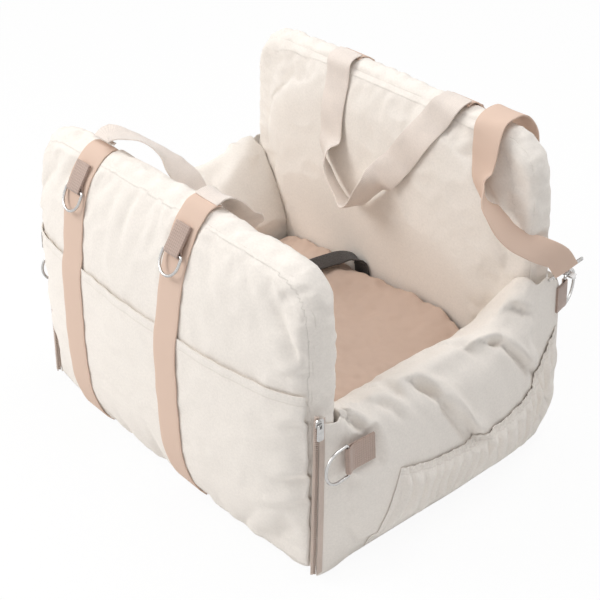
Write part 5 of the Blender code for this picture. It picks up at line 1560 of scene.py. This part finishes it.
class SeatHandles(bpy.types.Operator):
    """Make the two carrying handles."""
    bl_idname = "dogseat.handles"
    bl_label = "Carrying handles"

    def execute(self, context):
        self.make("front_handle", FRONT_STRAP_PLACES, "front_panel_padding", 1, FRONT_HEIGHT,
                  FRONT_MIDDLE, FRONT_HANDLE_DROP, FRONT_HANDLE_ROWS)
        self.make("back_handle", BACK_STRAP_PLACES, "backrest_padding", -1, BACK_HEIGHT,
                  BACK_MIDDLE, BACK_HANDLE_DROP, BACK_HANDLE_ROWS)
        return {"FINISHED"}

    def make(self, name, places, wall, sign, height, middle_y, drop, rows):
        """One handle, hung between its two straps on a wall's inner face."""
        tree = piece_tree(wall)
        top = joint_of(name)["pos_m"][2] - STRAP_THICKNESS / 2
        top_y = middle_y + sign * TOP_OFFSET
        centres, acrosses = [], []
        for along, over, low, quarters, tilt in rows:
            x = mix(*places, along)
            z = top - drop * low
            turn = math.radians(90) * quarters
            reach = 0.004 + STRAP_WIDTH / 2 * math.sin(turn)
            face = cast(tree, (x, middle_y + sign * 0.2, min(z, height - 0.012)), (0, -sign, 0))
            centres.append(Vector((x, mix(top_y, face.y + sign * reach, over), z)))
            raised = math.radians(tilt)
            acrosses.append(Vector((math.cos(turn), -math.sin(turn) * math.cos(raised),
                                    math.sin(turn) * math.sin(raised))))
        for end in (0, -1):
            centres[end].y = top_y
        line, across = smooth_route(centres, acrosses, 0.005, 3)
        # The handles' webbing is painted lighter, as a painted reflection of the light on their
        # satin.
        handle = strip(name + "_webbing", line, across, STRAP_WIDTH, STRAP_THICKNESS,
                       finish_of("handle webbing with painted reflection"), cup=0.0008)
        settle(handle, name, "webbing", name)


def ring_frame(name):
    """A ring's placing matrix: X away from its bar, Y along the bar."""
    joint = joint_of(name)
    bar = Vector(joint["axis"]).normalized()
    origin = Vector(joint["pos_m"])
    corners = [Vector(vertex.co) for vertex in FRAME["nodes"][name].data.vertices]
    middle = sum(corners, Vector()) / len(corners)
    away = middle - origin
    away = (away - bar * away.dot(bar)).normalized()
    turn = Matrix((away, bar, away.cross(bar))).transposed().to_4x4()
    return Matrix.Translation(origin) @ turn


class SeatRings(bpy.types.Operator):
    """Make the D-rings."""
    bl_idname = "dogseat.rings"
    bl_label = "Rings"

    def execute(self, context):
        for group, (width, depth, wire) in RINGS.items():
            half = (width + wire) / 2
            leg = depth - half if depth > half else depth / 4
            corner = wire * 0.7
            turns = np.linspace(0.3, math.pi / 2, 5)
            points = [(0, y, 0) for y in np.linspace(corner - half, half - corner, 7)]
            points += [(corner * (1 - math.cos(a)), half - corner * (1 - math.sin(a)), 0)
                       for a in turns]
            for step in range(31):
                angle = math.radians(90 - 180 * step / 30)
                points.append((leg + (depth - leg) * math.cos(angle), half * math.sin(angle), 0))
            points += [(corner * (1 - math.cos(a)), -half + corner * (1 - math.sin(a)), 0)
                       for a in np.linspace(math.pi / 2, 0.3, 5)]
            for side in ("left", "right"):
                name = group + "_ring_" + side
                place = ring_frame(name)
                item = tube(name + "_wire", [place @ Vector(point) for point in points],
                            wire / 2, finish_of("plated metal"), cyclic=True)
                settle(item, name, "silver_metal", name)
        return {"FINISHED"}


class SeatTabs(bpy.types.Operator):
    """Make the webbing tabs that hold the rings."""
    bl_idname = "dogseat.tabs"
    bl_label = "Ring tabs"

    def execute(self, context):
        for group, width, length, body in TABS:
            for side in ("left", "right"):
                self.make(group, side, width, length, body)
        return {"FINISHED"}

    def make(self, group, side, width, length, body):
        """One tab: sewn flat at its end, and folded round its ring's bar."""
        wire = RINGS[group][2]
        spin = Matrix.Rotation(math.radians(6 if RINGS[group] is SMALL_RING else 8), 4, "Y")
        bar = ring_frame(group + "_ring_" + side)
        node = group + "_ring_tab_" + side
        wall = node_tree(node)
        centre = TAB_THICKNESS + FOLD_GAP + wire / 2
        radius = wire / 2 + FOLD_GAP + TAB_THICKNESS / 2
        # The spin and the face that bring the sewn end closest to the frame's own tab
        options = []
        for frame in (bar @ spin, bar @ spin.inverted()):
            for sign in (1.0, -1.0):
                probe = frame @ Vector((-length * 0.7, 0, sign * (TAB_THICKNESS / 2 - centre)))
                options.append((wall.find_nearest(probe)[3], frame, sign))
        _, place, outward = min(options, key=lambda option: option[0])
        lower = TAB_THICKNESS / 2
        upper = lower + TAB_THICKNESS + LAYER_GAP
        profile = [(0.0, lower), (length * 0.35, lower), (length * 0.7, lower),
                   (length - radius, lower)]
        profile += half_turn(length, centre, radius)
        profile += [(length - 2.2 * radius, upper + 0.0006), (length * 0.62, upper),
                    (length * 0.3, upper), (0.0004, upper)]
        line = [place @ Vector((run - length, 0, outward * (height - centre)))
                for run, height in profile]
        axis = (place.to_3x3() @ Vector((0, 1, 0))).normalized()
        line, across = smooth_route(line, [axis] * len(line), 0.0016, 1)
        tab = strip(node + "_webbing", line, across, width, TAB_THICKNESS,
                    finish_of("tab webbing"))
        settle(tab, body, "webbing", node)


class SeatZips(bpy.types.Operator):
    """Make the zips: tapes, two rows of teeth and the cords under them."""
    bl_idname = "dogseat.zips"
    bl_label = "Zips"

    def execute(self, context):
        for name, side in SIDES:
            self.make_tape(name, side)
            for half, body, rise, tooth_y, cord_y in ZIP_HALVES:
                bm = bmesh.new()
                scale = Matrix.Diagonal((*ZIP_TOOTH, 1))
                for z in np.arange(0.011, 0.217, ZIP_PITCH):
                    y = front_seam_y(z) + ZIP_SETBACK - tooth_y
                    place = Matrix.Translation((side * 0.2645, y, z + rise)) @ scale
                    bmesh.ops.create_cube(bm, size=1, matrix=place)
                bmesh.ops.bevel(bm, geom=bm.edges[:], offset=0.0004, segments=2, profile=0.5,
                                affect="EDGES", material=-1)
                row = make_piece("zip_teeth_" + half + "_" + name, bm, finish_of("zip tape"))
                # The side's half of the frame's zip is already replaced by the tape
                replaced = ["zip_panel_half_" + name] if half == "panel" else []
                settle(row, body, "zip_tape", *replaced)
                spine = [Vector((side * 0.2632, front_seam_y(z) + ZIP_SETBACK - cord_y, z))
                         for z in np.arange(0.010, 0.2175, 0.008)]
                cord = tube("zip_cord_" + half + "_" + name, spine, ZIP_CORD_RADIUS,
                            finish_of("zip tape"), resolution=2)
                settle(cord, body, "zip_tape")
        return {"FINISHED"}

    def make_tape(self, name, side):
        """The tape that lies along the side's edge."""
        tree = node_tree("side_panel_" + name)
        line = []
        for z in np.arange(0.010, 0.2175, 0.006):
            y = front_seam_y(z) + ZIP_SETBACK
            start = (side * CAST_FROM, y + 0.0055, clamp(z, 0.004, 0.210))
            hit = cast(tree, start, (-side, 0, 0))
            x = abs(hit.x) if hit else SIDE_SEAM
            line.append(Vector((side * (x + 0.0016), y + 0.0030, z)))
        tape = strip("zip_tape_" + name, line, [Vector((0, 1, 0))] * len(line), ZIP_TAPE_WIDTH,
                     ZIP_TAPE_THICKNESS, finish_of("zip tape"), columns=3)
        settle(tape, "seat", "zip_tape", "zip_side_half_" + name)


class SeatHardware(bpy.types.Operator):
    """Give the hooks, loops, gates, sliders, pulls, board and foam their finishes."""
    bl_idname = "dogseat.hardware"
    bl_label = "Hardware"

    def execute(self, context):
        finishes = {name: finish_of("plated metal") for name in FRAME["nodes"]
                    if any(word in name for word in ("hook", "gate", "slider", "pull", "loop"))}
        finishes["base_board"] = dull_material("board", (0.07, 0.07, 0.075), 0.6)
        finishes["foam_block"] = dull_material("foam", (0.6, 0.6, 0.57), 0.95)
        for name, material in finishes.items():
            slots = FRAME["nodes"][name].data.materials
            slots.clear()
            slots.append(material)
        return {"FINISHED"}


class SeatBase(bpy.types.Operator):
    """Make the non-slip sheet under the seat."""
    bl_idname = "dogseat.base"
    bl_label = "Non-slip base"

    def execute(self, context):
        low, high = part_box("nonslip_sheet")
        bm = bmesh.new()
        bmesh.ops.create_grid(bm, x_segments=40, y_segments=32, size=1)
        half_x = (high[0] - low[0]) / 2 - BASE_INSET_X
        half_y = (high[1] - low[1]) / 2 - BASE_INSET_Y
        for vertex in bm.verts:
            x, y = vertex.co.x * half_x, vertex.co.y * half_y
            over_x, over_y = abs(x) - half_x + BASE_CORNER, abs(y) - half_y + BASE_CORNER
            if over_x > 0 and over_y > 0:
                length = math.hypot(over_x, over_y)
                share = max(over_x, over_y) / length
                x = math.copysign(half_x - BASE_CORNER + over_x * share, x)
                y = math.copysign(half_y - BASE_CORNER + over_y * share, y)
            vertex.co = Vector((x, y - BASE_SHIFT, 0.0009))
        sheet = make_piece("nonslip_base", bm,
                           dull_material("non-slip cloth", (0.035, 0.035, 0.037), 0.75, 0.004))
        thicken(sheet, BASE_THICKNESS, 0)
        settle(sheet, "seat", "nonslip_cloth", "nonslip_sheet")
        return {"FINISHED"}


# The shoulder strap's routes up from its two ends: places, and the turn of the webbing's width in
# degrees
SHOULDER_NEAR_ROWS = (
    (0.1802, 0.1681, 0.4084, 0), (0.1829, 0.1461, 0.4043, 0), (0.1860, 0.1366, 0.3813, 4),
    (0.1866, 0.1317, 0.3527, 15), (0.1974, 0.1201, 0.3348, 33), (0.2168, 0.1169, 0.3197, 60),
    (0.2325, 0.1200, 0.3010, 72), (0.2455, 0.1320, 0.2840, 84))
SHOULDER_REAR_ROWS = (
    (0.1781, 0.1884, 0.4043, 0), (0.1776, 0.2070, 0.3821, 0), (0.1723, 0.2153, 0.3503, 4),
    (0.1537, 0.2184, 0.3064, 20), (0.1139, 0.2194, 0.2587, 45), (0.0583, 0.2198, 0.2209, 66),
    (-0.0106, 0.2207, 0.1991, 82), (-0.0795, 0.2236, 0.1918, 90), (-0.1378, 0.2277, 0.1926, 90))

# How each folded end lies: from the hook to its loop, along the loop's bar, and up the strap
NEAR_HOOK_RUN = (-0.4508, 0.6211, -0.6411)
NEAR_LOOP_ACROSS = (-0.3770, -0.7835, -0.4940)
NEAR_STRAP_RUN = (0.24, 0.45, -0.86)
FAR_HOOK_RUN = (-1.0, 0.0, 0.0)
FAR_LOOP_ACROSS = (0.0, 0.0, 1.0)
TETHER_RUN = (-0.0499, -0.9988, 0.0)


def turned_frame(origin, x_axis, y_axis):
    """A placing matrix from its origin, its X and roughly its Y."""
    first = Vector(x_axis).normalized()
    second = Vector(y_axis) - first * first.dot(Vector(y_axis))
    second.normalize()
    turn = Matrix((first, second, first.cross(second))).transposed().to_4x4()
    return Matrix.Translation(origin) @ turn


def end_fold(loop, hook_run, strap_run, across, thickness):
    """A strap's end round its loop's bar: from the strap's side to the sewn tail's tip."""
    bar = Vector(joint_of(loop)["pos_m"]) - Vector(hook_run).normalized() * LOOP_DEPTH
    across = Vector(across).normalized()
    run = Vector(strap_run)
    place = turned_frame(bar, run - across * across.dot(run), across)
    radius = LOOP_WIRE / 2 + FOLD_GAP + thickness / 2
    points = [(-SEWN_TAIL, -radius), (-SEWN_TAIL * 0.6, -radius), (-radius, -radius)]
    points += half_turn(0, 0, radius)
    seat = thickness + LAYER_GAP - radius
    points += [(-2 * radius, seat + 0.0004), (-SEWN_TAIL * 0.6, seat), (-SEWN_TAIL, seat)]
    line = [place @ Vector((a, 0, b)) for a, b in points]
    return line, [across] * len(line)


class SeatShoulderStrap(bpy.types.Operator):
    """Make the shoulder strap that runs over the backrest."""
    bl_idname = "dogseat.shoulder_strap"
    bl_label = "Shoulder strap"

    def execute(self, context):
        near, near_across = end_fold("shoulder_right_hook", NEAR_HOOK_RUN, NEAR_STRAP_RUN,
                                     NEAR_LOOP_ACROSS, STRAP_THICKNESS)
        far, far_across = end_fold("shoulder_left_hook", FAR_HOOK_RUN, FAR_HOOK_RUN,
                                   FAR_LOOP_ACROSS, STRAP_THICKNESS)
        centres, acrosses = near[::-1], near_across[::-1]
        for x, y, z, turn in SHOULDER_NEAR_ROWS[::-1]:
            angle = math.radians(turn)
            centres.append(Vector((x, y, z)))
            acrosses.append(Vector((math.cos(angle), -math.sin(angle), 0)))
        for x, y, z, turn in SHOULDER_REAR_ROWS:
            angle = math.radians(turn)
            centres.append(Vector((x, y, z)))
            acrosses.append(Vector((math.cos(angle), 0, math.sin(angle))))
        centres += far
        acrosses += far_across
        line, across = smooth_route(centres, square_off(centres, acrosses), 0.005, 3)
        # The webbing is drawn narrower where it runs down into the near loop
        taper = [mix(0.76, 1.0, smooth((point.z - 0.262) / 0.05)) if point.x > 0.22 else 1.0
                 for point in line]
        strap = strip("shoulder_webbing", line, across, STRAP_WIDTH, STRAP_THICKNESS,
                      finish_of("webbing"), cup=0.0006, taper=taper)
        settle(strap, "seat", "webbing", "shoulder_strap")
        return {"FINISHED"}


class SeatTether(bpy.types.Operator):
    """Make the charcoal tether that comes from behind the cushion."""
    bl_idname = "dogseat.tether"
    bl_label = "Tether"

    def execute(self, context):
        fold, fold_across = end_fold("tether_hook", TETHER_RUN, TETHER_RUN,
                                     Vector((0, 0, 1)).cross(Vector(TETHER_RUN)),
                                     TETHER_THICKNESS)
        side = Vector((1, 0, 0))
        # The band takes the fold up to the middle of its turn, and the sewn tail the rest
        turn = 8
        centres = [Vector(row) for row in TETHER_ROWS] + fold[:turn]
        acrosses = [side] * 3 + [fold_across[0]] * (len(centres) - 3)
        line, across = smooth_route(centres, square_off(centres, acrosses), 0.004, 2)
        tether = strip("tether_band", line, across, TETHER_WIDTH, TETHER_THICKNESS,
                       finish_of("tether webbing"))
        tail_line, tail_across = smooth_route(fold[turn:], fold_across[turn:], 0.003, 0)
        tail = strip("tether_tail", tail_line, tail_across, TETHER_WIDTH, TETHER_THICKNESS,
                     finish_of("tether webbing"))
        settle(tail, "seat", "tether_webbing")
        settle(tether, "seat", "tether_webbing", "tether_strap")
        length = run_lengths(line)[-1]
        tuple(line[0])
        [tuple(point) for point in line]
        return {"FINISHED"}


class SeatStudio(bpy.types.Operator):
    """Set up the camera, the lamps, the sky and the floor."""
    bl_idname = "dogseat.stage"
    bl_label = "Stage"

    def execute(self, context):
        scene = context.scene
        scene.view_settings.view_transform = "Standard"
        self.add_camera(scene)
        self.add_lamps(scene)
        self.add_sky(scene)
        bm = bmesh.new()
        bmesh.ops.create_grid(bm, x_segments=1, y_segments=1, size=20)
        floor = make_piece("floor", bm, self.floor_material())
        return {"FINISHED"}

    def add_camera(self, scene):
        """The camera, which looks down at the seat from its right front."""
        stage = scene.seat_stage
        flat = math.cos(stage.elevation)
        back = Vector((math.sin(stage.azimuth) * flat, -math.cos(stage.azimuth) * flat,
                       math.sin(stage.elevation)))
        right = Vector((math.cos(stage.azimuth), math.sin(stage.azimuth), 0))
        up = back.cross(right)
        turned_right = right * math.cos(stage.roll) + up * math.sin(stage.roll)
        turned_up = up * math.cos(stage.roll) - right * math.sin(stage.roll)
        data = bpy.data.cameras.new("photo_camera")
        data.lens = stage.lens
        data.sensor_width = 36
        data.shift_x, data.shift_y = CAMERA_SHIFT
        data.clip_end = 60
        camera = bpy.data.objects.new("photo_camera", data)
        turn = Matrix((turned_right, turned_up, back)).transposed().to_4x4()
        place = Vector(CAMERA_TARGET) + back * stage.distance
        camera.matrix_world = Matrix.Translation(place) @ turn
        scene.collection.objects.link(camera)
        scene.camera = camera

    def add_lamps(self, scene):
        """Three broad lamps that face the seat: place, size, power and colour."""
        stage = scene.seat_stage
        lamps = (("key_lamp", (-1.5, -1.8, 2.1), 1.6, stage.key, (1.0, 0.985, 0.965)),
                 ("fill_lamp", (1.5, -1.1, 2.5), 1.5, stage.fill, (0.97, 0.98, 1.0)),
                 ("top_lamp", (0.3, 0.8, 2.6), 1.6, stage.top, (1.0, 1.0, 1.0)))
        for name, place, size, power, color in lamps:
            lamp = bpy.data.lights.new(name, "AREA")
            lamp.size = size
            lamp.energy = power
            lamp.color = color
            item = bpy.data.objects.new(name, lamp)
            item.location = place
            aim = Vector(LAMP_TARGET) - Vector(place)
            item.rotation_euler = aim.to_track_quat("-Z", "Y").to_euler()
            scene.collection.objects.link(item)

    def add_sky(self, scene):
        """A dim white sky that the camera sees as plain white."""
        world = bpy.data.worlds.new("studio")
        world.use_nodes = True
        tree = world.node_tree
        sky = tree.nodes["Background"]
        dim = scene.seat_stage.sky
        feed(tree, sky.inputs["Strength"],
             calc(tree, "ADD", dim, calc(tree, "MULTIPLY", seen_directly(tree), 1 - dim)))
        sky.inputs["Color"].default_value = (1, 1, 1, 1)
        scene.world = world

    def floor_material(self):
        """A pale floor that glows to the camera, so that only soft shadows show on it."""
        material, tree, shader = shader_of("pale floor", 0.9)
        place = object_coords(tree)
        cloud = group_node(tree, "Soft mottling", Vector=place, Scale=3.0, Contrast=0.02)
        color = tinted(tree, (0.93, 0.93, 0.93), cloud.outputs[0])
        feed(tree, shader.inputs["Base Color"], color)
        glow = add_node(tree, "ShaderNodeEmission")
        glow.inputs["Strength"].default_value = 1.0
        both = add_node(tree, "ShaderNodeMixShader")
        feed(tree, both.inputs[0], calc(tree, "MULTIPLY", seen_directly(tree), FLOOR_GLOW))
        tree.links.new(shader.outputs[0], both.inputs[1])
        tree.links.new(glow.outputs[0], both.inputs[2])
        output = next(node for node in tree.nodes if node.type == "OUTPUT_MATERIAL")
        tree.links.new(both.outputs[0], output.inputs[0])
        return material


class SeatPanel(bpy.types.Panel):
    """The steps that dress the seat, in order."""
    bl_idname = "VIEW3D_PT_dogseat"
    bl_label = "Padded dog car seat"
    bl_space_type = "VIEW_3D"
    bl_region_type = "UI"
    bl_category = "Dog Seat"

    def draw(self, context):
        for step in STEPS:
            self.layout.operator(step.bl_idname)
        for label, group in GROUPS:
            box = self.layout.box()
            for field in group.__annotations__:
                box.prop(getattr(context.scene, label), field)


STEPS = (SeatStudio, SeatTether, SeatFrontPanel, SeatBackrest, SeatSides, SeatSidePockets,
         SeatPlush, SeatSewnStraps, SeatHandles, SeatRings, SeatTabs, SeatShoulderStrap, SeatZips,
         SeatHardware, SeatBase)


def register():
    """Register the classes and the settings."""
    for _, group in GROUPS:
        bpy.utils.register_class(group)
    for step in STEPS:
        bpy.utils.register_class(step)
    bpy.utils.register_class(SeatPanel)
    for label, group in GROUPS:
        setattr(bpy.types.Scene, label, bpy.props.PointerProperty(type=group))


def unregister():
    """Take the classes and the settings out again."""
    for label, _ in GROUPS:
        delattr(bpy.types.Scene, label)
    bpy.utils.unregister_class(SeatPanel)
    for step in reversed(STEPS):
        bpy.utils.unregister_class(step)
    for _, group in reversed(GROUPS):
        bpy.utils.unregister_class(group)


def run_step(step):
    """Call one operator by its name."""
    family, name = step.bl_idname.split(".")
    getattr(getattr(bpy.ops, family), name)()


def main():
    """Dress the seat."""
    register()
    weave_group()
    mottle_group()
    seam_group()
    for step in STEPS:
        run_step(step)


if __name__ == "__main__":
    main()
